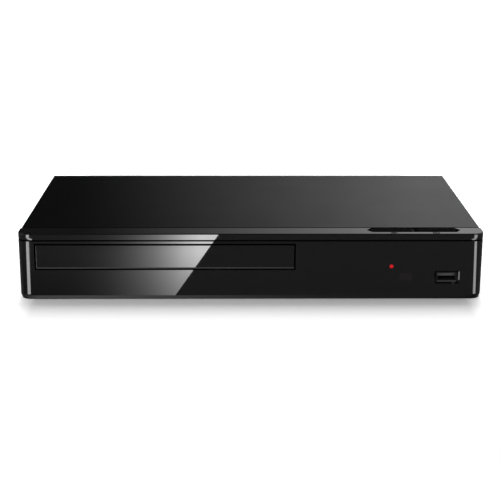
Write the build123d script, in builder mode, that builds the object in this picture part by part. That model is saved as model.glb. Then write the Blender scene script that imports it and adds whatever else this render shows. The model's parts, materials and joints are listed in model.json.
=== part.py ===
from build123d import *

import os
from math import cos, pi, radians, sin, tan

# A slim disc player, in millimetres. +Z is up and the front faces -Y.
# The origin is on the floor, below the middle of the whole player.

# Overall size
overall_width = 312.0
overall_depth = 180.0
overall_height = 46.0

# Fits and cutting
cut_over = 1.0
loose_gap = 0.3
seat_gap = 0.1
running_gap = 0.05
screw_gap = 0.15

# Sheet steel
sheet = 0.8
bend_radius = 1.2

# Front panel
panel_rise = 0.3
panel_depth = 16.9
strip_depth = 14.6
seam_step = 1.2
panel_wall = 2.5
panel_top_wall = 2.2
panel_lip = 2.7
corner_radius = 7.0
panel_edge_radius = 0.6
panel_chamfer = 2.7
panel_chamfer_depth = 0.9
band_height = 4.2
groove_height = 1.1
groove_depth = 1.8
rail_height = 1.5

# Tray door and its opening
door_width = 172.8
door_height = 16.4
door_thickness = 2.6
door_gap = 1.0
door_edge = 0.4
door_slope = 0.9
door_slope_depth = 0.35
door_center_inset = 98.4

# Socket, lamp and receiver openings in the front panel
data_inset = 24.2
data_center_z = 15.6
data_mouth_width = 15.6
data_mouth_height = 6.9
data_bevel = 1.1
data_pocket_depth = 1.4
lamp_inset = 61.8
lamp_rise = 1.5
lamp_radius = 1.3
receiver_inset = 51.8
receiver_z = 16.0
receiver_window_width = 9.0
receiver_window_height = 6.0

# Buttons on the top strip
well_length = 63.4
well_inset = 14.8
well_tip = 3.4
well_front = 4.3
well_depth = 4.9
well_wall = 1.2
button_gap = 0.4
button_pitch_gap = 3.6
open_button_width = 28.4
button_height = 3.4
button_drop = 0.4
button_slope = 1.3
button_corner = 1.4
button_edge = 0.3
button_stem_radius = 2.0
button_travel = 0.6

# Top cover
cover_side_inset = 0.2
cover_drop = 0.3
cover_flange = 11.0
vent_slot_width = 2.4
vent_slot_height = 15.0
vent_pitch = 6.0
side_vent_count = 11
side_vent_inset = 49.5
side_vent_z = 24.0

# Rear wall and its sockets
jack_projection = 8.5
rear_vent_count = 17
rear_vent_inset = 14.4
rear_vent_z = 20.0

# Chassis pan
pan_flange = 9.0
pan_rear_flange = 5.0
pan_front_flange = 4.0
floor_vent_count = 7
floor_vent_length = 34.0
floor_vent_inset = 12.0
floor_vent_setback = 26.0

# Feet
foot_radius = 9.0
foot_taper = 1.0
foot_recess_radius = 5.0
foot_recess_depth = 0.8
foot_inset_x = 24.0
foot_front_inset = 32.0
foot_rear_inset = 17.5

# Screws
screw_radius = 1.5
screw_head_radius = 2.9
screw_head_height = 1.8
screw_length = 6.0
screw_recess_width = 0.9
screw_recess_depth = 1.0

# Disc and tray
disc_setback = 69.0
recess_radius = 60.8
small_recess_radius = 40.6
tray_half_width = 64.5
tray_reach = 91.0
tray_rise = 3.6
tray_floor = 2.0
small_recess_depth = 1.0
deck_height = 2.8
deck_thickness = 1.8
dish_wall = 2.0
tray_rail_width = 5.0
tray_slot_half_width = 23.0
tray_front_wall = 2.0
tray_front_height = 11.0
tray_travel = 130.0

# Tray drive: rack, tray gear, pulley gear, belt and motor
gear_module = 1.0
tray_gear_teeth = 24
pinion_teeth = 12
tooth_backlash = 0.3
tip_share = 0.9
root_share = 1.25
tip_lean = 20.0
root_lean = 6.0
rack_x = 48.0
rack_height = 3.2
rack_bar_width = 3.0
drive_setback = 24.0
gear_headroom = 0.4
tray_gear_height = 4.8
pinion_height = 1.7
gear_post_radius = 2.0
gear_hub_radius = 4.0
pulley_radius = 11.0
pulley_height = 3.2
pulley_flange = 0.7
motor_pulley_radius = 3.4
motor_shaft_radius = 1.0
motor_x = -18.0
motor_radius = 10.5
motor_floor_gap = 1.3
motor_boss_radius = 3.0
motor_boss_height = 0.8
belt_width = 1.2
belt_clearance = 0.15

# Loader frame
frame_half_width = 72.0
frame_setback = 8.2
frame_overhang = 11.0
frame_wall = 2.5
frame_floor = 1.8
frame_foot = 1.0
frame_top_above_deck = 3.4
frame_opening_half_width = 40.0
frame_opening_margin = 2.0
frame_opening_overhang = 5.0
frame_opening_corner = 4.0
ledge_reach = 7.0
ledge_height = 2.0
retainer_length = 14.0
retainer_reach = 6.5
retainer_height = 2.0
retainer_offsets = (7.8, 86.8, 141.8)
shelf_thickness = 1.8
shelf_margin = 3.0
frame_lug_radius = 5.0
frame_lug_offsets = (9.8, 143.8)
finger_width = 3.0
finger_depth = 1.2
finger_height = 5.0
finger_offsets = (-10.0, 14.0)

# Lift frame, which tilts about its rear pins
pivot_reach = 84.0
pivot_below_tray = 9.2
pivot_radius = 2.0
pivot_block_width = 5.0
pivot_block_half_depth = 4.5
pivot_block_top = 4.0
lift_half_width = 36.0
lift_setback = 16.5
lift_bar = 7.0
lift_thickness = 2.4
lift_corner = 3.0
lift_pin_x = 24.0
lift_pin_radius = 1.5
spindle_drop = 4.5

# Cam slider
cam_travel = 18.0
cam_left = 46.0
cam_right = 30.0
cam_thickness = 3.0
cam_gap = 2.0
cam_top_margin = 3.4
cam_corner = 1.5

# Traverse plate on its rubber bushes
plate_thickness = 1.2
plate_half_width = 36.0
plate_reach = 23.0
plate_corner = 3.0
plate_window_half_width = 24.0
plate_window_gap = 1.5
bush_radius = 4.0
bush_neck_radius = 2.6
bush_flange = 1.0
bush_post_radius = 1.3
bush_x = 32.0
bush_offsets = (-19.0, 71.0)

# Spindle motor and turntable
spindle_motor_radius = 13.0
spindle_motor_height = 6.0
spindle_base_height = 1.2
spindle_shaft_radius = 1.25
turntable_radius = 14.5
turntable_height = 1.8
turntable_hub_radius = 6.5
turntable_lift = 4.0
pad_height = 0.4
pad_width = 3.2
cone_radius = 7.45
cone_tip_radius = 6.2
cone_height = 2.3

# Clamper and its bridge
bridge_half_depth = 19.0
bridge_thickness = 1.2
bridge_hole_radius = 13.0
bridge_lip = 2.5
bridge_lip_width = 1.2
clamper_radius = 16.5
clamper_disc_height = 2.5
clamper_neck_radius = 11.5
clamper_neck_height = 4.2
clamper_flange_radius = 15.5
clamper_flange_height = 1.2
clamper_recess_radius = 8.6
magnet_radius = 9.0
magnet_bore_radius = 4.0
magnet_height = 2.6

# Pickup sled on its rods
lens_radius_from_spindle = 24.0
sled_travel = 34.0
rod_radius = 1.5
rod_x = 18.5
rod_below_pivot = 2.2
rod_clip_half_width = 3.0
rod_clip_depth = 2.4
screw_clip_half_width = 2.0
rod_seat = 1.6
pickup_half_width = 22.0
pickup_front = 9.0
pickup_rear = 20.0
pickup_bottom = 3.2
pickup_height = 13.0
pickup_waist = 8.0
pickup_corner = 3.0
holder_width = 12.0
holder_depth = 9.0
holder_height = 2.4
yoke_thickness = 1.4
yoke_gap = 0.25
yoke_height = 3.2
lens_radius = 2.4
lens_height = 0.9
focus_travel = 0.5
holder_float = 0.4

# Lead screw and its motor
screw_x = 24.5
lead_screw_radius = 1.5
lead_screw_reach = 73.0
sled_motor_radius = 4.0
sled_motor_length = 12.0
sled_motor_reach = 15.0
follower_length = 8.0
follower_height = 2.2
follower_reach = 4.6

# Circuit boards
board_thickness = 1.6
board_z = 9.4
standoff_radius = 3.0
board_screw_inset = 5.0
main_board_gap = 2.6
board_spacing = 6.0
board_setback = 44.0
main_board_rear_gap = 1.0
power_board_width = 52.0
power_board_inset = 6.0
front_board_width = 86.0
front_board_inset = 8.0
front_board_depth = 26.0
button_board_thickness = 1.2
button_board_depth = 12.0
button_board_margin = 8.0
button_post_radius = 2.5
board_rib_width = 2.0
board_rib_depth = 4.0

# Parts on the boards
processor_size = 24.0
processor_height = 2.0
memory_width = 9.0
memory_length = 13.0
memory_height = 1.2
sink_size = 30.0
sink_base = 2.0
sink_height = 12.0
sink_fin = 1.4
sink_fin_count = 7
processor_offset = 37.0
processor_inset = 75.7
small_can_radius = 3.1
small_can_height = 8.0
can_places_shares = ((0.15, 0.12), (0.32, 0.12), (0.62, 0.12), (0.82, 0.22))
transformer_width = 26.0
transformer_length = 22.0
transformer_height = 20.0
transformer_core = 8.0
transformer_coil_inset = 2.0
bulk_can_radius = 8.0
bulk_can_length = 24.0
can_groove = 0.6
can_groove_width = 1.2
choke_radius = 8.0
choke_height = 14.0
choke_flange = 1.5
choke_core_radius = 5.5
switch_size = 6.0
switch_height = 3.4
switch_plunger_radius = 1.7
switch_plunger_height = 1.2
switch_plunger_grip = 1.0

transformer_inset = 18.0
transformer_rear_inset = 85.7
bulk_offset = 14.0
bulk_rear_inset = 65.7
choke_inset = 14.0
choke_rear_inset = 45.7

# Sockets
data_shell_width = 13.1
data_shell_height = 5.7
data_shell_depth = 14.0
data_shell_wall = 0.3
data_tongue_width = 11.1
data_tongue_height = 1.9
data_tongue_setback = 3.4
data_shell_setback = 1.2
data_tongue_rise = 0.9
data_back_wall = 1.5
video_offset = 18.0
video_width = 15.0
video_height = 5.6
video_depth = 11.0
video_wall = 0.5
video_corner = 1.6
video_tongue_height = 1.2
video_tongue_width = 11.0
video_tongue_setback = 4.6
video_back_wall = 2.0
network_offset = 35.0
network_width = 16.0
network_height = 13.4
network_depth = 17.0
network_wall = 1.4
network_cavity_height = 8.0
network_cavity_depth = 12.0
network_latch_width = 6.0
network_latch_height = 3.2
audio_offset = 55.0
audio_body_width = 10.0
audio_body_height = 12.0
audio_body_depth = 11.0
audio_barrel_radius = 4.15
audio_bore_radius = 1.6
audio_bore_depth = 9.0
audio_flange_radius = 5.2
audio_ring_width = 0.7
audio_ring_depth = 6.0
inlet_inset = 22.0
inlet_width = 24.0
inlet_height = 14.0
inlet_depth = 18.0
inlet_flange = 2.0
inlet_flange_thickness = 1.0
inlet_lobe_radius = 4.6
inlet_pin_pitch = 8.6
inlet_cavity_depth = 14.0
inlet_pin_radius = 1.2
inlet_pin_setback = 4.6

# Receiver and lamp guide
receiver_width = 6.0
receiver_depth = 4.0
receiver_height = 7.0
receiver_lens_radius = 2.2
receiver_lens_reach = 1.0
guide_width = 4.0
guide_depth = 2.4
guide_top_margin = 1.2

# Flat cables
ribbon_thickness = 0.4
ribbon_width = 16.0
ribbon_rise = 7.0
ribbon_bend = 2.0
connector_width = 20.0
connector_depth = 5.0
connector_height = 4.0
front_ribbon_inset = 11.0
front_connector_setback = 16.0
main_connector_setback = 12.5
main_connector_inset = 6.0
power_connector_inset = 6.0
flex_connector_inset = 5.0
flex_offset = 11.0
flex_rise = 3.5
flex_drop = 4.0
flex_end = 9.6
flex_turn = 4.4
receiver_setback = 1.5
power_cable_inset = 39.7

# Heights and places that follow from the sizes above
front_y = -overall_depth / 2
rear_wall_y = overall_depth / 2 - jack_projection
side_x = overall_width / 2
door_center_x = door_center_inset - side_x
data_center_x = side_x - data_inset
lamp_x = side_x - lamp_inset
receiver_x = side_x - receiver_inset
well_right_x = side_x - well_inset
well_left_x = well_right_x - well_length
power_board_right_x = side_x - power_board_inset
power_board_left_x = power_board_right_x - power_board_width
main_board_left_x = door_center_x + frame_half_width + frame_lug_radius + main_board_gap
main_board_right_x = power_board_left_x - board_spacing
front_board_right_x = side_x - front_board_inset
front_board_left_x = front_board_right_x - front_board_width
video_x = main_board_left_x + video_offset
network_x = main_board_left_x + network_offset
audio_x = main_board_left_x + audio_offset
processor_x = main_board_left_x + processor_offset
inlet_x = power_board_right_x - inlet_inset
transformer_x = power_board_right_x - transformer_inset
bulk_x = power_board_left_x + bulk_offset
choke_x = power_board_right_x - choke_inset
floor_vent_x = power_board_left_x + floor_vent_inset
rear_vent_x = door_center_x - rear_vent_inset
front_ribbon_x = main_board_right_x - front_ribbon_inset
main_power_connector_x = main_board_right_x - main_connector_inset
power_connector_x = power_board_left_x + power_connector_inset
flex_connector_x = main_board_left_x + flex_connector_inset
flex_drop_x = main_board_left_x - flex_drop
flex_end_x = door_center_x + flex_end
flex_turn_x = door_center_x - flex_turn
disc_center_y = front_y + disc_setback
drive_y = front_y + drive_setback
frame_front_y = front_y + frame_setback
lift_front_y = drive_y + lift_setback
frame_opening_front_y = lift_front_y + frame_opening_margin
pivot_y = disc_center_y + pivot_reach
frame_rear_y = pivot_y + frame_overhang
frame_opening_rear_y = pivot_y + frame_opening_overhang
tray_rear_y = disc_center_y + tray_reach
plate_front_y = disc_center_y - plate_reach
sled_motor_front_y = disc_center_y - sled_motor_reach
lead_screw_rear_y = disc_center_y + lead_screw_reach
retainer_y_places = [frame_front_y + offset for offset in retainer_offsets]
frame_lug_y_places = [frame_front_y + offset for offset in frame_lug_offsets]
bush_y_places = [disc_center_y + offset for offset in bush_offsets]
foot_front_y = front_y + foot_front_inset
foot_rear_y = rear_wall_y - foot_rear_inset
side_vent_y = rear_wall_y - side_vent_inset
board_front_y = front_y + board_setback
front_connector_y = front_y + front_connector_setback
main_connector_y = board_front_y + main_connector_setback
floor_vent_y = board_front_y + floor_vent_setback
panel_rear_y = front_y + panel_depth
panel_ceiling_z = overall_height - panel_top_wall
groove_top_z = overall_height - band_height
opening_top_z = groove_top_z - groove_height - rail_height
door_top_z = opening_top_z - door_gap
door_bottom_z = door_top_z - door_height
lamp_z = door_bottom_z + lamp_rise
opening_center_z = (door_top_z + door_bottom_z) / 2
floor_z = panel_rise + panel_lip + seat_gap
floor_top_z = floor_z + sheet
cover_top_z = overall_height - cover_drop
cover_half_width = side_x - cover_side_inset
cover_front_y = panel_rear_y + loose_gap
cover_rear_y = rear_wall_y + seat_gap + sheet
pan_half_width = cover_half_width - sheet - loose_gap
tray_bottom_z = door_bottom_z + tray_rise
pivot_z = tray_bottom_z - pivot_below_tray
rod_z = pivot_z - rod_below_pivot
recess_floor_z = tray_bottom_z + tray_floor
deck_z = recess_floor_z + deck_height
tray_front_y = front_y + door_thickness
frame_bottom_z = floor_top_z + frame_foot
frame_floor_z = frame_bottom_z + frame_floor
frame_top_z = deck_z + frame_top_above_deck
tray_gear_top_z = tray_bottom_z - gear_headroom
tray_gear_bottom_z = tray_gear_top_z - tray_gear_height
pulley_top_z = tray_gear_bottom_z - loose_gap
pulley_bottom_z = pulley_top_z - pulley_height
shelf_top_z = pulley_bottom_z - loose_gap
motor_top_z = shelf_top_z - shelf_thickness
motor_height = motor_top_z - floor_top_z - motor_floor_gap
tray_gear_radius = gear_module * tray_gear_teeth / 2
pinion_radius = gear_module * pinion_teeth / 2
tray_gear_x = door_center_x + rack_x - tray_gear_radius
pulley_x = tray_gear_x - tray_gear_radius - pinion_radius
loading_motor_x = door_center_x + motor_x
lift_bottom_z = pivot_z - lift_thickness / 2
lift_top_z = pivot_z + lift_thickness / 2
cam_front_y = lift_front_y - cam_gap - cam_thickness
cam_middle_y = cam_front_y + cam_thickness / 2
tilt_sine = spindle_drop / (pivot_y - disc_center_y)
pin_drop = (pivot_y - cam_middle_y) * tilt_sine
plate_bottom_z = lift_top_z + bush_flange
plate_top_z = plate_bottom_z + plate_thickness
turntable_bottom_z = plate_top_z + turntable_lift + spindle_shaft_radius * 2
turntable_top_z = turntable_bottom_z + turntable_height
disc_play_z = turntable_top_z + pad_height
clamper_bottom_z = disc_play_z + loose_gap
lens_y = disc_center_y + lens_radius_from_spindle
flex_y = lens_y + flex_offset
pickup_bottom_z = rod_z - pickup_bottom
plate_window_front_y = lens_y - pickup_front - plate_window_gap
plate_window_rear_y = lens_y + pickup_rear + sled_travel + plate_window_gap
plate_rear_y = plate_window_rear_y + rod_clip_depth + plate_thickness
holder_gap = focus_travel + holder_float
pickup_top_z = pickup_bottom_z + pickup_height
board_top_z = board_z + board_thickness
board_rear_y = rear_wall_y - sheet - main_board_rear_gap
processor_y = board_rear_y - processor_inset
transformer_y = board_rear_y - transformer_rear_inset
bulk_y = board_rear_y - bulk_rear_inset
choke_y = board_rear_y - choke_rear_inset
power_cable_y = board_rear_y - power_cable_inset
front_board_front_y = front_y + panel_wall + loose_gap
front_board_rear_y = front_board_front_y + front_board_depth
front_board_z = data_center_z - data_shell_height / 2 - board_thickness
well_front_y = front_y + well_front
well_floor_z = overall_height - well_depth
button_top_z = overall_height - button_drop
button_bottom_z = button_top_z - button_height
plunger_top_z = well_floor_z - well_wall
switch_top_z = plunger_top_z - switch_plunger_height
button_board_top_z = switch_top_z - switch_height
button_board_z = button_board_top_z - button_board_thickness
switch_hole_depth = switch_plunger_grip + button_travel + loose_gap
front_wall_back_y = front_y + panel_wall


def middle(low, high):
    return (low + high) / 2


# A box between two planes on each axis
def block(x_span, y_span, z_span, mode=Mode.ADD):
    with Locations((middle(*x_span), middle(*y_span), middle(*z_span))):
        Box(x_span[1] - x_span[0], y_span[1] - y_span[0], z_span[1] - z_span[0], mode=mode)


# Round bars along each axis
def post(x, y, z_span, radius, mode=Mode.ADD):
    with Locations((x, y, middle(*z_span))):
        Cylinder(radius, z_span[1] - z_span[0], mode=mode)


def bar_along_y(x, y_span, z, radius, mode=Mode.ADD):
    with Locations((x, middle(*y_span), z)):
        Cylinder(radius, y_span[1] - y_span[0], rotation=(90, 0, 0), mode=mode)


def bar_along_x(x_span, y, z, radius, mode=Mode.ADD):
    with Locations((middle(*x_span), y, z)):
        Cylinder(radius, x_span[1] - x_span[0], rotation=(0, 90, 0), mode=mode)


# A rectangle between two corners, in the plane of the sketch
def patch(x_span, y_span, mode=Mode.ADD):
    with Locations((middle(*x_span), middle(*y_span))):
        Rectangle(x_span[1] - x_span[0], y_span[1] - y_span[0], mode=mode)


def about(center, half):
    return (center - half, center + half)


# The outline of a gear: straight flanks from root to pitch circle to tip
def gear_outline(teeth, turn):
    pitch_radius = gear_module * teeth / 2
    root_radius = pitch_radius - root_share * gear_module
    tip_radius = pitch_radius + tip_share * gear_module
    half_pitch = (pi * gear_module / 2 - tooth_backlash / 2) / 2 / pitch_radius
    half_tip = half_pitch - tip_share * gear_module * tan(radians(tip_lean)) / pitch_radius
    half_root = half_pitch + root_share * gear_module * tan(radians(root_lean)) / pitch_radius
    flank = ((root_radius, half_root), (pitch_radius, half_pitch), (tip_radius, half_tip))
    points = []
    for tooth in range(teeth):
        centre = radians(turn) + 2 * pi * tooth / teeth
        for radius, half in flank:
            points.append((radius * cos(centre - half), radius * sin(centre - half)))
        for radius, half in reversed(flank):
            points.append((radius * cos(centre + half), radius * sin(centre + half)))
    return points


# The outline of the rack, along Y, with its teeth pointing to -X at the pitch line
def rack_outline(pitch_x, gear_y, travel):
    pitch = pi * gear_module
    tip_x = pitch_x - tip_share * gear_module
    root_x = pitch_x + root_share * gear_module
    half_pitch = pitch / 4 - tooth_backlash / 4
    half_tip = half_pitch - tip_share * gear_module * tan(radians(tip_lean))
    half_root = half_pitch + root_share * gear_module * tan(radians(tip_lean))
    count = round(travel / pitch) + 2
    points = [(root_x + rack_bar_width, gear_y - pitch), (root_x, gear_y - pitch)]
    for tooth in range(count):
        centre = gear_y + (tooth - 1 / 2) * pitch
        points.append((root_x, centre - half_root))
        points.append((tip_x, centre - half_tip))
        points.append((tip_x, centre + half_tip))
        points.append((root_x, centre + half_root))
    end_y = gear_y + count * pitch - pitch / 2
    points.append((root_x, end_y))
    points.append((root_x + rack_bar_width, end_y))
    return points


# A grooved pulley about Z, drawn as half a section
def pulley_section(radius, groove_depth, z_span):
    low, high = z_span
    return [
        (0, low),
        (radius, low),
        (radius, low + pulley_flange),
        (radius - groove_depth, low + pulley_flange),
        (radius - groove_depth, high - pulley_flange),
        (radius, high - pulley_flange),
        (radius, high),
        (0, high),
    ]


# A pan-head screw along +Z with a cross recess, head on top, at the origin of its seat
def screw_at(location, length):
    with Locations(location):
        Cylinder(screw_radius, length, align=(Align.CENTER, Align.CENTER, Align.MAX))
        Cylinder(screw_head_radius, screw_head_height, align=(Align.CENTER, Align.CENTER, Align.MIN))
    with Locations(location * Location((0, 0, screw_head_height))):
        for turn in (0, 90):
            Box(
                screw_head_radius,
                screw_recess_width,
                screw_recess_depth * 2,
                rotation=(0, 0, turn),
                mode=Mode.SUBTRACT,
            )


os.makedirs("parts", exist_ok=True)


def save(piece, name):
    piece.part.label = name
    export_step(piece.part, f"parts/{name}.step")


# Front panel: one moulding with the top strip, the seam step, the band, the groove and the openings
well_rear_y = front_y + strip_depth
well_middle_y = middle(well_front_y, well_rear_y)
open_button_left_x = well_left_x + well_tip
open_button_right_x = open_button_left_x + open_button_width
power_button_left_x = open_button_right_x + button_pitch_gap
power_button_right_x = well_right_x - well_tip
button_spans = {
    "open_button": (open_button_left_x, open_button_right_x),
    "power_button": (power_button_left_x, power_button_right_x),
}
button_front_y = well_front_y + button_gap
button_rear_y = well_rear_y - button_gap
button_middle_y = middle(button_front_y, button_rear_y)
button_post_x = (well_left_x - button_board_margin / 2, well_right_x + button_board_margin / 2)

with BuildPart() as front_panel:
    with BuildSketch(Plane.XY.offset(panel_rise)) as panel_plan:
        patch((-side_x, side_x), (front_y, panel_rear_y))
        fillet(panel_plan.vertices().group_by(Axis.Y)[0], corner_radius)
    extrude(amount=overall_height - panel_rise)
    bottom_face = front_panel.faces().sort_by(Axis.Z)[0]
    outer_bottom = bottom_face.edges().sort_by(Axis.Y)[:-1]
    chamfer(outer_bottom, panel_chamfer_depth, panel_chamfer, reference=bottom_face)
    outer_top = front_panel.faces().sort_by(Axis.Z)[-1].edges().sort_by(Axis.Y)[:-1]
    fillet(outer_top, panel_edge_radius)
    block(
        about(0, side_x + cut_over),
        (well_rear_y, panel_rear_y + cut_over),
        (overall_height - seam_step, overall_height + cut_over),
        mode=Mode.SUBTRACT,
    )
    with BuildSketch(Plane.XY.offset(groove_top_z - groove_height)) as groove_plan:
        patch((-side_x - cut_over, side_x + cut_over), (front_y - cut_over, panel_rear_y + cut_over))
        with BuildSketch(mode=Mode.PRIVATE) as groove_core:
            patch(about(0, side_x - groove_depth), (front_y + groove_depth, panel_rear_y + cut_over * 2))
            fillet(groove_core.vertices().group_by(Axis.Y)[0], corner_radius - groove_depth)
        add(groove_core.sketch, mode=Mode.SUBTRACT)
    extrude(amount=groove_height, mode=Mode.SUBTRACT)
    with BuildSketch(Plane.XY.offset(panel_rise + panel_lip)) as panel_cavity:
        patch(about(0, side_x - panel_wall), (front_wall_back_y, panel_rear_y + cut_over))
        fillet(panel_cavity.vertices().group_by(Axis.Y)[0], corner_radius - panel_wall)
    extrude(amount=panel_ceiling_z - panel_rise - panel_lip, mode=Mode.SUBTRACT)
    block(
        (well_left_x - well_wall, well_right_x + well_wall),
        (front_wall_back_y, panel_rear_y),
        (well_floor_z - well_wall, panel_ceiling_z),
    )
    with BuildSketch(Plane.XY.offset(well_floor_z)) as well_plan:
        with BuildLine():
            Polyline(
                (well_left_x, well_middle_y),
                (open_button_left_x, well_front_y),
                (power_button_right_x, well_front_y),
                (well_right_x, well_middle_y),
                (power_button_right_x, well_rear_y),
                (open_button_left_x, well_rear_y),
                close=True,
            )
        make_face()
    extrude(amount=well_depth + cut_over, mode=Mode.SUBTRACT)
    for span in button_spans.values():
        post(
            middle(*span),
            button_middle_y,
            (well_floor_z - well_wall - cut_over, well_floor_z + cut_over),
            button_stem_radius + button_gap,
            mode=Mode.SUBTRACT,
        )
    for x in (front_board_left_x + board_screw_inset, front_board_right_x - board_screw_inset):
        block(
            about(x, board_rib_width / 2),
            (front_wall_back_y, front_wall_back_y + board_rib_depth),
            (panel_rise + panel_lip, front_board_z),
        )
    for x in button_post_x:
        post(x, button_middle_y, (button_board_top_z, panel_ceiling_z), button_post_radius)
        post(
            x,
            button_middle_y,
            (button_board_top_z - cut_over, panel_ceiling_z),
            screw_radius + screw_gap,
            Mode.SUBTRACT,
        )
    with BuildSketch(Plane.XZ.offset(-front_y)) as panel_openings:
        with Locations((door_center_x, opening_center_z)):
            Rectangle(door_width + 2 * door_gap, door_height + 2 * door_gap)
        with Locations((data_center_x, data_center_z)):
            Rectangle(data_shell_width + 2 * loose_gap, data_shell_height + 2 * loose_gap)
        with Locations((receiver_x, receiver_z)):
            Rectangle(receiver_window_width, receiver_window_height)
        with Locations((lamp_x, lamp_z)):
            Circle(lamp_radius)
    extrude(amount=-panel_wall - cut_over, mode=Mode.SUBTRACT)
    with BuildSketch(Plane.XZ.offset(-front_y)) as data_pocket:
        with Locations((data_center_x, data_center_z)):
            Rectangle(data_mouth_width, data_mouth_height)
    extrude(amount=-data_pocket_depth, mode=Mode.SUBTRACT)
    data_rim = front_panel.edges().filter_by_position(Axis.Y, front_y, front_y).filter_by(
        lambda e: abs(e.center().X - data_center_x) < data_mouth_width
        and abs(e.center().Z - data_center_z) < data_mouth_height
    )
    chamfer(data_rim, data_bevel)
save(front_panel, "front_panel")

# Remote window, flush in the panel
with BuildPart() as remote_window:
    block(
        about(receiver_x, receiver_window_width / 2 - seat_gap),
        (front_y, front_wall_back_y),
        about(receiver_z, receiver_window_height / 2 - seat_gap),
    )
save(remote_window, "remote_window")

# Buttons: rounded caps sloping down to the front, with a stem down to each switch
for button_name, span in button_spans.items():
    with BuildPart() as button:
        with BuildSketch(Plane.XY.offset(button_bottom_z)) as cap_plan:
            patch(span, (button_front_y, button_rear_y))
            fillet(cap_plan.vertices(), button_corner)
        extrude(amount=button_height)
        with BuildSketch(Plane.YZ.offset(middle(*span))) as cap_slope:
            with BuildLine():
                Polyline(
                    (button_rear_y, button_top_z),
                    (button_front_y, button_top_z - button_slope),
                    (button_front_y - cut_over, button_top_z - button_slope),
                    (button_front_y - cut_over, button_top_z + cut_over),
                    (button_rear_y, button_top_z + cut_over),
                    close=True,
                )
            make_face()
        extrude(amount=span[1] - span[0], both=True, mode=Mode.SUBTRACT)
        fillet(button.faces().sort_by(Axis.Z)[-1].edges(), button_edge)
        post(
            middle(*span),
            button_middle_y,
            (plunger_top_z, button_bottom_z),
            button_stem_radius,
        )
    save(button, button_name)

# Top cover: a folded sheet with side vents and a rear flange
with BuildPart() as top_cover:
    with BuildSketch(Plane.XZ.offset(-cover_front_y)) as cover_section:
        patch(about(0, cover_half_width), (floor_z, cover_top_z))
        fillet(cover_section.vertices().group_by(Axis.Y)[-1], bend_radius)
        with BuildSketch(Plane.XZ.offset(-cover_front_y), mode=Mode.PRIVATE) as cover_inside:
            patch(about(0, cover_half_width - sheet), (floor_z - cut_over, cover_top_z - sheet))
            fillet(cover_inside.vertices().group_by(Axis.Y)[-1], bend_radius - sheet)
        add(cover_inside.sketch, mode=Mode.SUBTRACT)
    extrude(amount=cover_front_y - cover_rear_y)
    block(
        about(0, cover_half_width - sheet),
        (cover_rear_y - sheet, cover_rear_y),
        (cover_top_z - cover_flange, cover_top_z - sheet),
    )
    with BuildSketch(Plane.YZ) as side_vents:
        with Locations((side_vent_y, side_vent_z)):
            with GridLocations(vent_pitch, 0, side_vent_count, 1):
                SlotOverall(vent_slot_height, vent_slot_width, rotation=90)
    extrude(amount=side_x, both=True, mode=Mode.SUBTRACT)
    for x in (-1, 0, 1):
        bar_along_y(
            x * (cover_half_width - foot_inset_x),
            (cover_rear_y - sheet - cut_over, cover_rear_y + cut_over),
            cover_top_z - cover_flange / 2,
            screw_radius + screw_gap,
            mode=Mode.SUBTRACT,
        )
save(top_cover, "top_cover")

# Chassis pan: floor, folded flanges, standoffs and seats
main_board_spans = ((main_board_left_x, main_board_right_x), (board_front_y, board_rear_y))
power_board_spans = ((power_board_left_x, power_board_right_x), (board_front_y, board_rear_y))
front_board_spans = (
    (front_board_left_x, front_board_right_x),
    (front_board_front_y, front_board_rear_y),
)


def board_corners(spans):
    (low_x, high_x), (low_y, high_y) = spans
    inset = board_screw_inset
    return [(x, y) for x in (low_x + inset, high_x - inset) for y in (low_y + inset, high_y - inset)]


main_screws = board_corners(main_board_spans)
power_screws = board_corners(power_board_spans)
front_screws = [p for p in board_corners(front_board_spans) if p[1] > middle(*front_board_spans[1])]
frame_lugs = [
    (door_center_x + side * (frame_half_width + frame_lug_radius), y)
    for side in (-1, 1)
    for y in frame_lug_y_places
]
audio_z = board_top_z + audio_body_height / 2
inlet_z = board_top_z + inlet_height / 2
foot_places = [(x * (side_x - foot_inset_x), y) for x in (-1, 1) for y in (foot_front_y, foot_rear_y)]

with BuildPart() as chassis_pan:
    block(about(0, pan_half_width), (cover_front_y, rear_wall_y - sheet), (floor_z, floor_top_z))
    panel_tongue_half = side_x - panel_wall - loose_gap
    tongue_front_y = front_y + corner_radius
    block(about(0, panel_tongue_half), (tongue_front_y, cover_front_y), (floor_z, floor_top_z))
    for side in (-1, 1):
        outer_x = side * pan_half_width
        block(
            tuple(sorted((outer_x, outer_x - side * sheet))),
            (cover_front_y, rear_wall_y - sheet),
            (floor_z, floor_z + pan_flange),
        )
    block(
        about(0, panel_tongue_half),
        (tongue_front_y, tongue_front_y + sheet),
        (floor_z, floor_z + pan_front_flange),
    )
    block(
        about(0, pan_half_width),
        (rear_wall_y - sheet * 2, rear_wall_y - sheet),
        (floor_z, floor_z + pan_rear_flange),
    )
    for x, y in main_screws + power_screws:
        post(x, y, (floor_top_z, board_z), standoff_radius)
    for x, y in front_screws:
        post(x, y, (floor_top_z, front_board_z), standoff_radius)
    for x, y in frame_lugs:
        post(x, y, (floor_top_z, frame_bottom_z), frame_lug_radius)
    for x, y in main_screws + power_screws + front_screws + frame_lugs:
        post(x, y, (floor_z - cut_over, overall_height), screw_radius + screw_gap, mode=Mode.SUBTRACT)
    with BuildSketch(Plane.XY.offset(floor_z)) as floor_openings:
        with Locations((floor_vent_x, floor_vent_y)):
            with GridLocations(vent_pitch, 0, floor_vent_count, 1):
                SlotOverall(floor_vent_length, vent_slot_width, rotation=90)
    extrude(amount=sheet, both=True, mode=Mode.SUBTRACT)
save(chassis_pan, "chassis_pan")

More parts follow.
